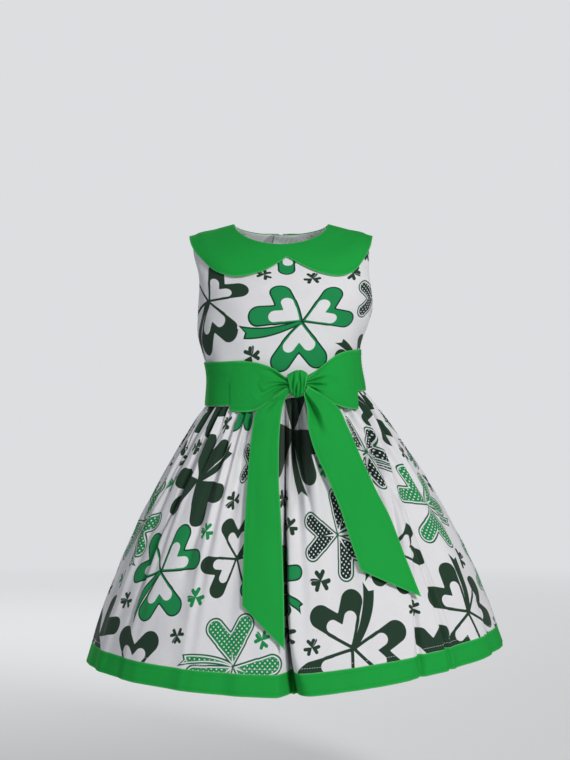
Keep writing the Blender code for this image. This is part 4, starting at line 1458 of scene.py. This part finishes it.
def green_material(name):
    """Plain green cotton, with a painted highlight along its edges and a painted groove shade
    beside them.
    """
    material, tree, shader = new_material(name)
    vector, u, v = cloth_place(tree)
    edge = Wire(attribute(tree, "edge", "Fac"))
    # Painted highlight: lighter green within about a millimetre of every edge
    edge_highlight = inside((edge - EDGE_HIGHLIGHT_WIDTH) * EDGE_HIGHLIGHT_SOFT)
    # Painted shade: a faint darker line where a groove would lie, a few millimetres in from the
    # edge
    groove_shade = inside((abs(edge - GROOVE_IN) - GROOVE_HALF) * GROOVE_SOFT)
    colour = mixed(tree, edge_highlight * EDGE_HIGHLIGHT_SHARE, GREEN, GREEN_LIT)
    colour = mixed(tree, groove_shade * GROOVE_SHADE_SHARE, colour, GREEN_GROOVE_SHADE)
    weave(tree, vector, u, v, colour, shader, GREEN_SURFACE)
    return material


def grain_material(grain):
    """A small hard or thread part: two near colours and a fine surface."""
    material, tree, shader = new_material(grain.name)
    place = add_node(tree, "TexCoord").outputs["Object"]
    height = noise(tree, place, grain.scale, 3.0)
    feed(tree, shader.inputs["Base Color"], mixed(tree, height, grain.colour, grain.other))
    feed(tree, shader.inputs["Roughness"], height * GRAIN_ROUGH + grain.roughness)
    bumped(tree, shader, height, grain.bump, GRAIN_DEPTH)
    return material


def panel_uv(points, middle, heights):
    """Flat place of a bodice panel: distance from its middle line, and height up the panel."""
    along = lengths(points, 1)
    columns = np.arange(points.shape[1])
    zero = np.array([np.interp(middle, columns, row) for row in along])
    return np.stack([zero[:, None] - along, np.broadcast_to(heights, along.shape)], axis=-1)


def bodice_rows():
    """Rises of a bodice panel's rows, at the side seam and armhole and at its middle."""
    half = (ARMHOLE_TOP_RISE - ARMPIT_RISE) / 2
    below = steps(ROWS_BELOW, 2 * ARMPIT_RISE, PRINT_WALL)
    below = below[below <= 0.5] * 2 * ARMPIT_RISE
    turn = np.linspace(0.0, math.pi, ROWS_BESIDE + 1)[1:]
    above = steps(ROWS_ABOVE, 2 * (NECK_RISE - ARMHOLE_TOP_RISE), PRINT_WALL)
    above = (above[above > 0.5] - 0.5) * 2
    above = ARMHOLE_TOP_RISE + above * (NECK_RISE - ARMHOLE_TOP_RISE)
    at_side = np.concatenate([below, ARMPIT_RISE + half - half * np.cos(turn), above])
    at_middle = np.concatenate([below, ARMPIT_RISE + 2 * half * turn / math.pi, above])
    return at_side[:, None], at_middle[:, None]


def bodice_panel(panel, seed):
    """A bodice panel between two angles, or an armhole edge where that comes first."""
    at_side, at_middle = bodice_rows()
    hole = armhole_angle(at_side)
    size, creases = panel.shape
    width, height = size
    turned = panel.end < 0
    shares = steps(panel.columns, width, PRINT_WALL)[None, :]
    first = np.full_like(hole, panel.start)
    if panel.start == 0:
        first = np.copysign(hole, panel.end)
    last = np.full_like(hole, panel.end)
    if abs(panel.end) == math.pi:
        last = np.copysign(math.pi - hole, panel.end)
    angle = first + (last - first) * shares
    rise = at_side + (at_middle - at_side) * smooth((1.0 - np.abs(np.cos(angle))) / MIDDLE_FROM)
    lift = back_lift(angle) if panel.node == "bodice_back_left" else 0.0
    move = rumple(np.broadcast_to(shares * width, angle.shape), rise, seed, BODICE_RUMPLE)
    move = move - crease_depth(shares, rise / height, size, creases)
    move = move * smooth(np.minimum(shares, 1.0 - shares) / SIDE_FADE)
    move = move * smooth((NECK_RISE - rise) / NECK_FADE) * smooth(rise / WAIST_FADE)
    points = torso(angle, rise, lift + move)
    points[..., 1] += HALF_SEAM if turned else -HALF_SEAM
    uv = panel_uv(points, (points.shape[1] - 1) / 2, rise)
    if turned:
        uv[..., 0] *= -1.0
    made, middles = cloth(panel.node, points, uv, PRINTED, BODICE_WITHIN)
    lay_print(made, middles, panel.clovers, seed)
    return made


def build_bodice():
    """The front and the two backs."""
    for seed, panel in enumerate(BODICE_PANELS, start=SEED + 10):
        bodice_panel(panel, seed)


def half_turns(angle):
    """An angle from 0 to a full turn, with the back half below zero."""
    return np.where(angle > math.pi, angle - 2 * math.pi, angle)


def collar_edge_rise(angle):
    """Rise of the collar's outer edge, which falls from the front notch to each lobe."""
    away = np.interp(np.degrees(angle), COLLAR_ANGLES, COLLAR_ROUND)
    return curve(away, COLLAR_EDGE, "rise")


def build_collar():
    """Two round lobes in one ring of cloth, which is split at the back."""
    start = BACK_MIDDLE + COLLAR_SPLIT
    end = 1.5 * math.pi - COLLAR_SPLIT
    side = steps(COLLAR_COLUMNS, COLLAR_LENGTH, GREEN_WALL)
    close = len(EDGE_STEPS)
    right = start + (COLLAR_NOTCH - start) * side[:-close]
    left = COLLAR_NOTCH + (end - COLLAR_NOTCH) * side[close:]
    angle = np.concatenate([right, [COLLAR_NOTCH], left])[None, :]
    share = steps(COLLAR_ROWS, COLLAR_WIDTH, GREEN_WALL)[:, None]
    rise = COLLAR_START_RISE + (collar_edge_rise(angle) - COLLAR_START_RISE) * share
    turn = np.broadcast_to(half_turns(angle), rise.shape)
    wave = COLLAR_WAVE
    for count, phase in COLLAR_WAVES:
        wave = wave * np.sin(angle * count + phase)
    out = COLLAR_GAP + SOLID_DOUBLE_WALL + back_lift(turn) + wave * share
    points = torso(turn, rise, out, run_on=True)
    made, _ = cloth("collar", points, flat_lengths(points), PLAIN_GREEN, BODICE_WITHIN)


def skirt_uv(across, down, width):
    """Flat place of points of a skirt panel: from its middle line, and up from its lower edge."""
    grid = np.broadcast_arrays((0.5 - across) * width, (1.0 - down) * PANEL_LENGTH)
    return np.stack(grid, axis=-1)


def build_skirt(name, is_front, clovers, seed):
    """A skirt panel and the hem band below it."""
    node = "skirt_" + name
    width = PANEL_WIDTH if is_front else BACK_PANEL_WIDTH
    band_top = 1.0 - BAND_SHARE
    across = skirt_columns(PRINT_WALL, is_front)
    down = steps(SKIRT_ROWS, PANEL_LENGTH * band_top, PRINT_WALL)[:, None]
    down = down * (band_top - BAND_GAP_SHARE)
    points = skirt(across, down, is_front)
    uv = skirt_uv(across, down, width if is_front else -width)
    made, middles = cloth(node, points, uv, PRINTED, SKIRT_WITHIN)
    lay_print(made, middles, clovers, seed)
    across = skirt_columns(GREEN_WALL, is_front)
    down = steps(BAND_ROWS, BAND_SHARE * PANEL_LENGTH, GREEN_WALL)[:, None]
    down = band_top + down * BAND_SHARE
    points = skirt(across, down, is_front)
    uv = skirt_uv(across, down, width)
    band, _ = cloth("hem_band_" + name, points, uv, PLAIN_GREEN, BAND_WITHIN)


def sash_edges(angle):
    """Rise of the sash's lower and upper edge, drawn in towards the knot at the front."""
    x = torso_base(angle, np.full_like(angle, SASH_HIGH / 2), False)[..., 0] - KNOT_X
    at_front = (angle > 0) & (angle < math.pi)
    reach = np.where(x > 0, PINCH_RIGHT, PINCH_LEFT)
    high = SASH_HIGH - np.where(at_front, PINCH_DROP * (1.0 - smooth(np.abs(x) / reach)), 0.0)
    high = high + SASH_LEFT_RISE * smooth((-np.cos(angle) - SASH_RISE_FROM) / SASH_RISE_REACH)
    near = 1.0 - smooth(np.abs(x) / PINCH_LOW_REACH)
    low = SASH_LOW + np.where(at_front, PINCH_LIFT * near, 0.0)
    return low, high


def build_sash():
    """The band that runs closed round the waist."""
    angle = np.linspace(0.0, 2 * math.pi, SASH_COLUMNS)[None, :]
    share = steps(SASH_ROWS, SASH_HIGH, GREEN_WALL)[:, None]
    low, high = sash_edges(angle)
    turn = np.broadcast_to(half_turns(angle), (len(share), SASH_COLUMNS))
    dip = crease_depth(angle / (2 * math.pi), share, SASH_SIZE, SASH_CREASES)
    along = np.sin(angle) * SASH_TURN
    worn = rumple(along, share * SASH_HIGH + np.cos(angle) * SASH_TURN, SEED, SASH_RUMPLE)
    out = SASH_OUT + back_lift(turn) - dip * SASH_CREASE_SHARE + worn
    points = torso(turn, low + (high - low) * share, out)
    made, _ = cloth("sash_band", points, flat_lengths(points), PLAIN_GREEN, SASH_WITHIN, True)


def build_knot():
    """A tube of cloth with its axis across the waist, pinched at its ends and lower down."""
    turn = np.linspace(0.0, 2 * math.pi, KNOT_COLUMNS)[None, :]
    middle = float(front_y(KNOT_X, KNOT_Z)) - LAY_GAP - KNOT_DEPTH
    along = 2.0 * steps(KNOT_ROWS, 2 * KNOT_TOP_HALF, GREEN_WALL)[:, None] - 1.0
    size = 1.0 - KNOT_BARREL * along * along
    high = (np.sin(turn) + 1.0) / 2
    dip = crease_depth((along + 1.0) / 2, high, KNOT_SIZE, KNOT_CREASES)
    dip = dip * smooth((KNOT_FRONT_FROM - np.cos(turn)) / KNOT_FRONT_FADE)
    dip = dip * smooth((1.0 - np.abs(along)) / KNOT_END_FADE)
    waves, phase = KNOT_BUMP_WAVE
    bump = KNOT_BUMP * np.sin(along * waves + phase) * high**3
    y = middle + (KNOT_DEPTH * size - dip) * np.cos(turn)
    z = KNOT_Z + (KNOT_HEIGHT * size - KNOT_DIP_SHARE * dip + bump) * np.sin(turn)
    half = KNOT_LOW_HALF + (KNOT_TOP_HALF - KNOT_LOW_HALF) * high
    points = np.stack([KNOT_X + along * half, y, z], axis=-1)
    centre = (KNOT_X, middle, KNOT_Z)
    made, _ = cloth("bow_knot", points, flat_lengths(points), PLAIN_GREEN, centre, True)


def build_loop(name, table, creases, end):
    """A ribbon that leaves the knot by the sash, turns round at its outer end and comes back."""
    across = steps(LOOP_ROWS, LOOP_WIDTH, GREEN_WALL)[:, None]
    step = steps(LOOP_COLUMNS, LOOP_LENGTH, GREEN_WALL)[None, :]
    out = (1.0 - np.cos(2 * math.pi * step)) / 2
    is_front = step > 0.5
    top = curve(out, table, "top")
    low = curve(out, table, "low")
    z = top + (low - top) * across
    x = np.broadcast_to(curve(out, table, "x"), z.shape)
    thick = LOOP_THICK_KNOT + (LOOP_THICK_OUT - LOOP_THICK_KNOT) * out
    thick = thick * np.maximum(1.0 - out**end.bend, 0.0) ** end.power
    near = LOOP_NEAR + LOOP_LIFT * (1.0 - smooth(out / LOOP_LIFT_REACH))
    near = near * (1.0 - smooth((out - end.close_from) / (1.0 - end.close_from)))
    near = near - end.sink * out**SINK_POWER
    pleat = LOOP_PLEAT_DEPTH * np.cos(2 * math.pi * LOOP_PLEATS * across)
    pleat = pleat * smooth(out / LOOP_PLEAT_START)
    pleat = pleat * (1.0 - smooth((out - LOOP_PLEAT_FADE_FROM) / LOOP_PLEAT_FADE))
    pleat = pleat * LOOP_PLEAT_SHARE
    dip = crease_depth(out, across, LOOP_SIZE, creases) * smooth((1.0 - out) / LOOP_END_FADE)
    off = near + np.where(is_front, thick + pleat - dip, 0.0)
    points = np.stack([x, front_y(x, z) - off, z], axis=-1)
    quarter = points.shape[1] // 4
    middle = (points[:, quarter].mean(axis=0) + points[:, -quarter].mean(axis=0)) / 2
    made, _ = cloth(name, points, flat_lengths(points), PLAIN_GREEN, middle)


def build_tail(name, table, size, creases):
    """A free end of the sash, which lies on the skirt down to its slanted cut."""
    across = steps(TAIL_COLUMNS, size[1], GREEN_WALL)[None, :]
    down = steps(TAIL_ROWS, size[0], GREEN_WALL)[:, None]
    columns = [curve(down, table, column) for column in Tail._fields[1:]]
    left_x, left_z, right_x, right_z, off = columns
    x = left_x + (right_x - left_x) * across
    z = left_z + (right_z - left_z) * across
    crown = TAIL_CROWN * np.sin(math.pi * across)
    dip = crease_depth(down, across, size, creases)
    worn = rumple(across * size[1], down * size[0], SEED + 3, TAIL_RUMPLE)
    y = front_y(x, z) - off - crown + dip * TAIL_CREASE_SHARE - worn
    points = np.stack([x, y, z], axis=-1)
    made, _ = cloth(name, points, flat_lengths(points), PLAIN_GREEN, TAIL_WITHIN)


def at_distance(distance, away, values):
    """Three values at a distance along a line."""
    return np.array([np.interp(distance, away, values[:, axis]) for axis in range(3)])


def along_side(node, side, distance):
    """A line on a piece's outer side that keeps its distance from one of its edges."""
    points, normal = SURFACES[node]
    if side in ("first_column", "last_column"):
        points, normal = np.swapaxes(points, 0, 1), np.swapaxes(normal, 0, 1)
    if side in ("last_row", "last_column"):
        points, normal = points[::-1], normal[::-1]
    away = lengths(points, 0)
    columns = range(points.shape[1])
    place = [at_distance(distance, away[:, column], points[:, column]) for column in columns]
    turn = [at_distance(distance, away[:, column], normal[:, column]) for column in columns]
    return np.array(place), np.array(turn)


def sew(lines, pitch=STITCH_PITCH, length=STITCH_LENGTH, radius=STITCH_RADIUS):
    """Stitches along lines of points with normals, as the vertices and faces of small threads."""
    spin = np.linspace(0.0, 2 * math.pi, STITCH_SIDES, endpoint=False)
    circle = np.stack([np.zeros_like(spin), np.cos(spin), np.sin(spin)], axis=-1)
    rings = [(x * length, 0.0, 0.0) + r * radius * circle for x, r in STITCH_RINGS]
    shape = np.concatenate(rings)
    index = np.arange(len(shape)).reshape(len(STITCH_RINGS), STITCH_SIDES)
    faces = quads(np.concatenate([index, index[:, :1]], axis=1))
    parts = []
    for points, normal in lines:
        away = lengths(points[:, None], 0)[:, 0]
        number = int((away[-1] - pitch) / pitch)
        for place in np.linspace(pitch, away[-1] - pitch, max(number, 2)):
            middle = at_distance(place, away, points)
            up = at_distance(place, away, normal)
            up /= np.linalg.norm(up)
            along = at_distance(place + length / 2, away, points) - middle
            along /= np.linalg.norm(along)
            axes = np.stack([along, np.cross(up, along), up])
            parts.append((middle + up * radius * STITCH_LIFT + shape @ axes, faces))
    return join(parts)


def sash_side_line():
    """The line where the sash is joined to its side seam."""
    ends = (SASH_LOW + SASH_STITCH_END, SASH_HIGH - SASH_STITCH_END)
    rise = np.linspace(*ends, SASH_STITCH_POINTS)
    angle = np.full_like(rise, SASH_STITCH_ANGLE)
    points = torso(angle, rise, SASH_OUT + SASH_STITCH_OUT)
    normal = torso(angle, rise, SASH_OUT + 2 * SASH_STITCH_OUT) - points
    return points, normal / np.linalg.norm(normal, axis=-1, keepdims=True)


def build_stitches():
    """Rows by the hem, armholes and placket, and one at the sash's side."""
    lines = [along_side("skirt_" + side, "last_row", STITCH_IN) for side in ("front", "back")]
    rises = bodice_rows()[0][:, 0]
    first = np.argmax(rises > ARMPIT_RISE + ARMHOLE_STITCH_FROM)
    last = len(rises) - ROWS_ABOVE
    for node, side in ARMHOLE_EDGES:
        points, normal = along_side(node, side, STITCH_IN)
        lines.append((points[first:last], normal[first:last]))
    lines.append(along_side("bodice_back_left", "first_column", PLACKET_STITCH_IN))
    threads = join([sew(lines), sew([sash_side_line()], *SASH_STITCH)])
    finish_piece("stitches", threads, "print_cotton", WHITE_THREAD)


def lathe(profile, sides):
    """A profile of radii and heights, turned round an upright axis."""
    spin = np.linspace(0.0, 2 * math.pi, sides + 1)
    circle = np.stack([np.cos(spin), np.sin(spin), np.zeros_like(spin)], axis=-1)
    verts = np.concatenate([radius * circle + (0.0, 0.0, z) for radius, z in profile])
    return verts, quads(np.arange(len(verts)).reshape(len(profile), sides + 1))


def moved(shape, turn, place):
    """Vertices and faces, turned and moved to a place."""
    return shape[0] @ turn.T + place, shape[1]


def build_buttons():
    """The buttons of the placket, with dark discs of painted shade for their holes, and thread."""
    sides = (-HOLE_PLACE, HOLE_PLACE)
    profile = [(share * BUTTON_RADIUS, z) for share, z in BUTTON_PROFILE]
    for number, rise in enumerate(BUTTON_RISES, start=1):
        angle = np.array([BACK_MIDDLE])
        height = np.array([rise])
        under = torso(angle, height)[0]
        seat = torso(angle, height, np.array([BACK_LIFT + LAY_GAP]))[0]
        out = Vector((0, 0, 1)).rotation_difference(Vector(seat - under))
        turn = np.array(out.to_matrix())
        button = moved(lathe(profile, BUTTON_SIDES), turn, seat)
        made = finish_piece(f"shirt_button_{number}", button, "button", BUTTON)
        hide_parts(f"button_{number}")
        holes, threads = [], []
        for x in sides:
            for y in sides:
                disc, faces = lathe(HOLE_PROFILE, HOLE_SIDES)
                holes.append((disc + (x, y, BUTTON_FACE), faces))
        for y in sides:
            for off in (-THREAD_RADIUS, THREAD_RADIUS):
                ends = np.array([(x, y + off, BUTTON_FACE + THREAD_OVER) for x in sides])
                threads.append(thread_bar(ends @ turn.T + seat, turn[:, 2]))
        holes = moved(join(holes), turn, seat)
        # Painted shade: dark discs stand for the shade inside the holes
        finish_piece(f"hole_shade_discs_{number}", holes, "button", HOLE_SHADE_MATERIAL)
        finish_piece(f"button_thread_{number}", join(threads), "print_cotton", WHITE_THREAD)


def thread_bar(points, up):
    """One thread that goes straight between two points and dips at both."""
    along = points[1] - points[0]
    length = np.linalg.norm(along)
    along = along / length
    side = np.cross(up, along)
    spin = np.linspace(0.0, 2 * math.pi, THREAD_STEPS)
    rows = []
    for share in np.linspace(0.0, 1.0, THREAD_STEPS):
        arch = math.sin(math.pi * share)
        size = THREAD_RADIUS * (THREAD_END + THREAD_SWELL * arch)
        middle = points[0] + along * length * share + up * THREAD_ARCH * arch
        rows.append([middle + size * (math.cos(a) * side + math.sin(a) * up) for a in spin])
    verts = np.array(rows).reshape(-1, 3)
    return verts, quads(np.arange(len(verts)).reshape(THREAD_STEPS, THREAD_STEPS))


def area_light(light):
    """A round light that points at the dress."""
    data = bpy.data.lights.new(light.name, "AREA")
    data.shape = "DISK"
    data.size = light.size
    data.energy = light.power
    data.color = light.colour
    made = add_object(light.name, data)
    made.location = light.place
    away = Vector(LIGHT_TARGET) - Vector(light.place)
    made.rotation_euler = away.to_track_quat("-Z", "Y").to_euler()


def build_studio():
    """Camera, lights, world and floor, none of which belongs to the dress."""
    data = bpy.data.cameras.new("camera")
    data.lens = CAMERA_LENS
    data.sensor_width = SENSOR
    camera = add_object("camera", data)
    camera.location = CAMERA_PLACE
    camera.rotation_euler = (math.pi / 2, 0.0, 0.0)
    bpy.context.scene.camera = camera
    bpy.context.scene.view_settings.view_transform = "Standard"
    for light in LIGHTS:
        area_light(light)
    bpy.context.scene.world = studio_world()
    rim = []
    for turn in np.linspace(0.0, 2 * math.pi, FLOOR_SIDES, endpoint=False):
        rim.append((FLOOR_RADIUS * math.cos(turn), FLOOR_RADIUS * math.sin(turn), FLOOR_Z))
    mesh = bpy.data.meshes.new("floor")
    mesh.from_pydata(rim, [], [tuple(range(FLOOR_SIDES))])
    mesh.materials.append(floor_material())
    add_object("floor", mesh)


def studio_world():
    """Soft light from all round, which the camera sees as a paler grey."""
    world = bpy.data.worlds.new("studio")
    world.use_nodes = True
    tree = world.node_tree
    light = tree.nodes["Background"]
    feed(tree, light.inputs["Color"], WORLD_LIGHT)
    feed(tree, light.inputs["Strength"], WORLD_POWER)
    seen = add_node(tree, "Background", Color=WORLD_SEEN)
    is_seen = add_node(tree, "LightPath").outputs["Is Camera Ray"]
    blended(tree, is_seen, light, seen, "World Output")
    return world


def blended(tree, share, first, second, output):
    """Gives an output node a blend of what two shader nodes give."""
    choice = add_node(tree, "MixShader", Fac=share)
    feed(tree, choice.inputs[1], first.outputs[0])
    feed(tree, choice.inputs[2], second.outputs[0])
    feed(tree, tree.nodes[output].inputs[0], choice.outputs[0])


def floor_material():
    """Pale and plain, and it fades out before its rim can be seen."""
    material = grain_material(FLOOR_GRAIN)
    tree = material.node_tree
    place = add_node(tree, "TexCoord").outputs["Object"]
    reach = add_node(tree, "VectorMath")
    reach.operation = "LENGTH"
    feed(tree, reach.inputs[0], place)
    away = Wire(reach.outputs["Value"])
    share = (away - FLOOR_FADE_FROM) / (FLOOR_RADIUS - FLOOR_FADE_FROM)
    share = least(most(share, 0.0), 1.0)
    clear = add_node(tree, "BsdfTransparent")
    blended(tree, share, tree.nodes["Principled BSDF"], clear, "Material Output")
    return material


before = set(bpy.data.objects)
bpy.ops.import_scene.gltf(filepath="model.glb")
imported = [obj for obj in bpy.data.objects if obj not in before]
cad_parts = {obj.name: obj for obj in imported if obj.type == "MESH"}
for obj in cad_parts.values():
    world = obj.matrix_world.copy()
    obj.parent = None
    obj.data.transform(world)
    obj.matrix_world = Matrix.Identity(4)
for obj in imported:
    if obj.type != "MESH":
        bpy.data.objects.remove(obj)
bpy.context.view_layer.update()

PRINTED = Fabric(
    "print_cotton",
    PRINT_WALL,
    print_material("print_cotton_right_side", 0.0),
    print_material("print_cotton_wrong_side", WRONG_SIDE_FADE),
)
GREEN_CLOTH = green_material("plain_cotton_green")
PLAIN_GREEN = Fabric("plain_cotton", GREEN_WALL, GREEN_CLOTH, GREEN_CLOTH)
WHITE_THREAD = grain_material(THREAD_GRAIN)
BUTTON = grain_material(BUTTON_GRAIN)
HOLE_SHADE_MATERIAL = grain_material(HOLE_SHADE_GRAIN)

build_studio()
build_bodice()
build_collar()
build_skirt("front", True, SKIRT_CLOVERS, SEED + 20)
build_skirt("back", False, BACK_SKIRT_CLOVERS, SEED + 21)
build_sash()
build_knot()
build_loop("bow_loop_left", LEFT_LOOP, LEFT_LOOP_CREASES, LEFT_END)
build_loop("bow_loop_right", RIGHT_LOOP, RIGHT_LOOP_CREASES, RIGHT_END)
build_tail("sash_tail_left", LEFT_TAIL, LEFT_TAIL_SIZE, LEFT_TAIL_CREASES)
build_tail("sash_tail_right", RIGHT_TAIL, RIGHT_TAIL_SIZE, RIGHT_TAIL_CREASES)
build_stitches()
build_buttons()
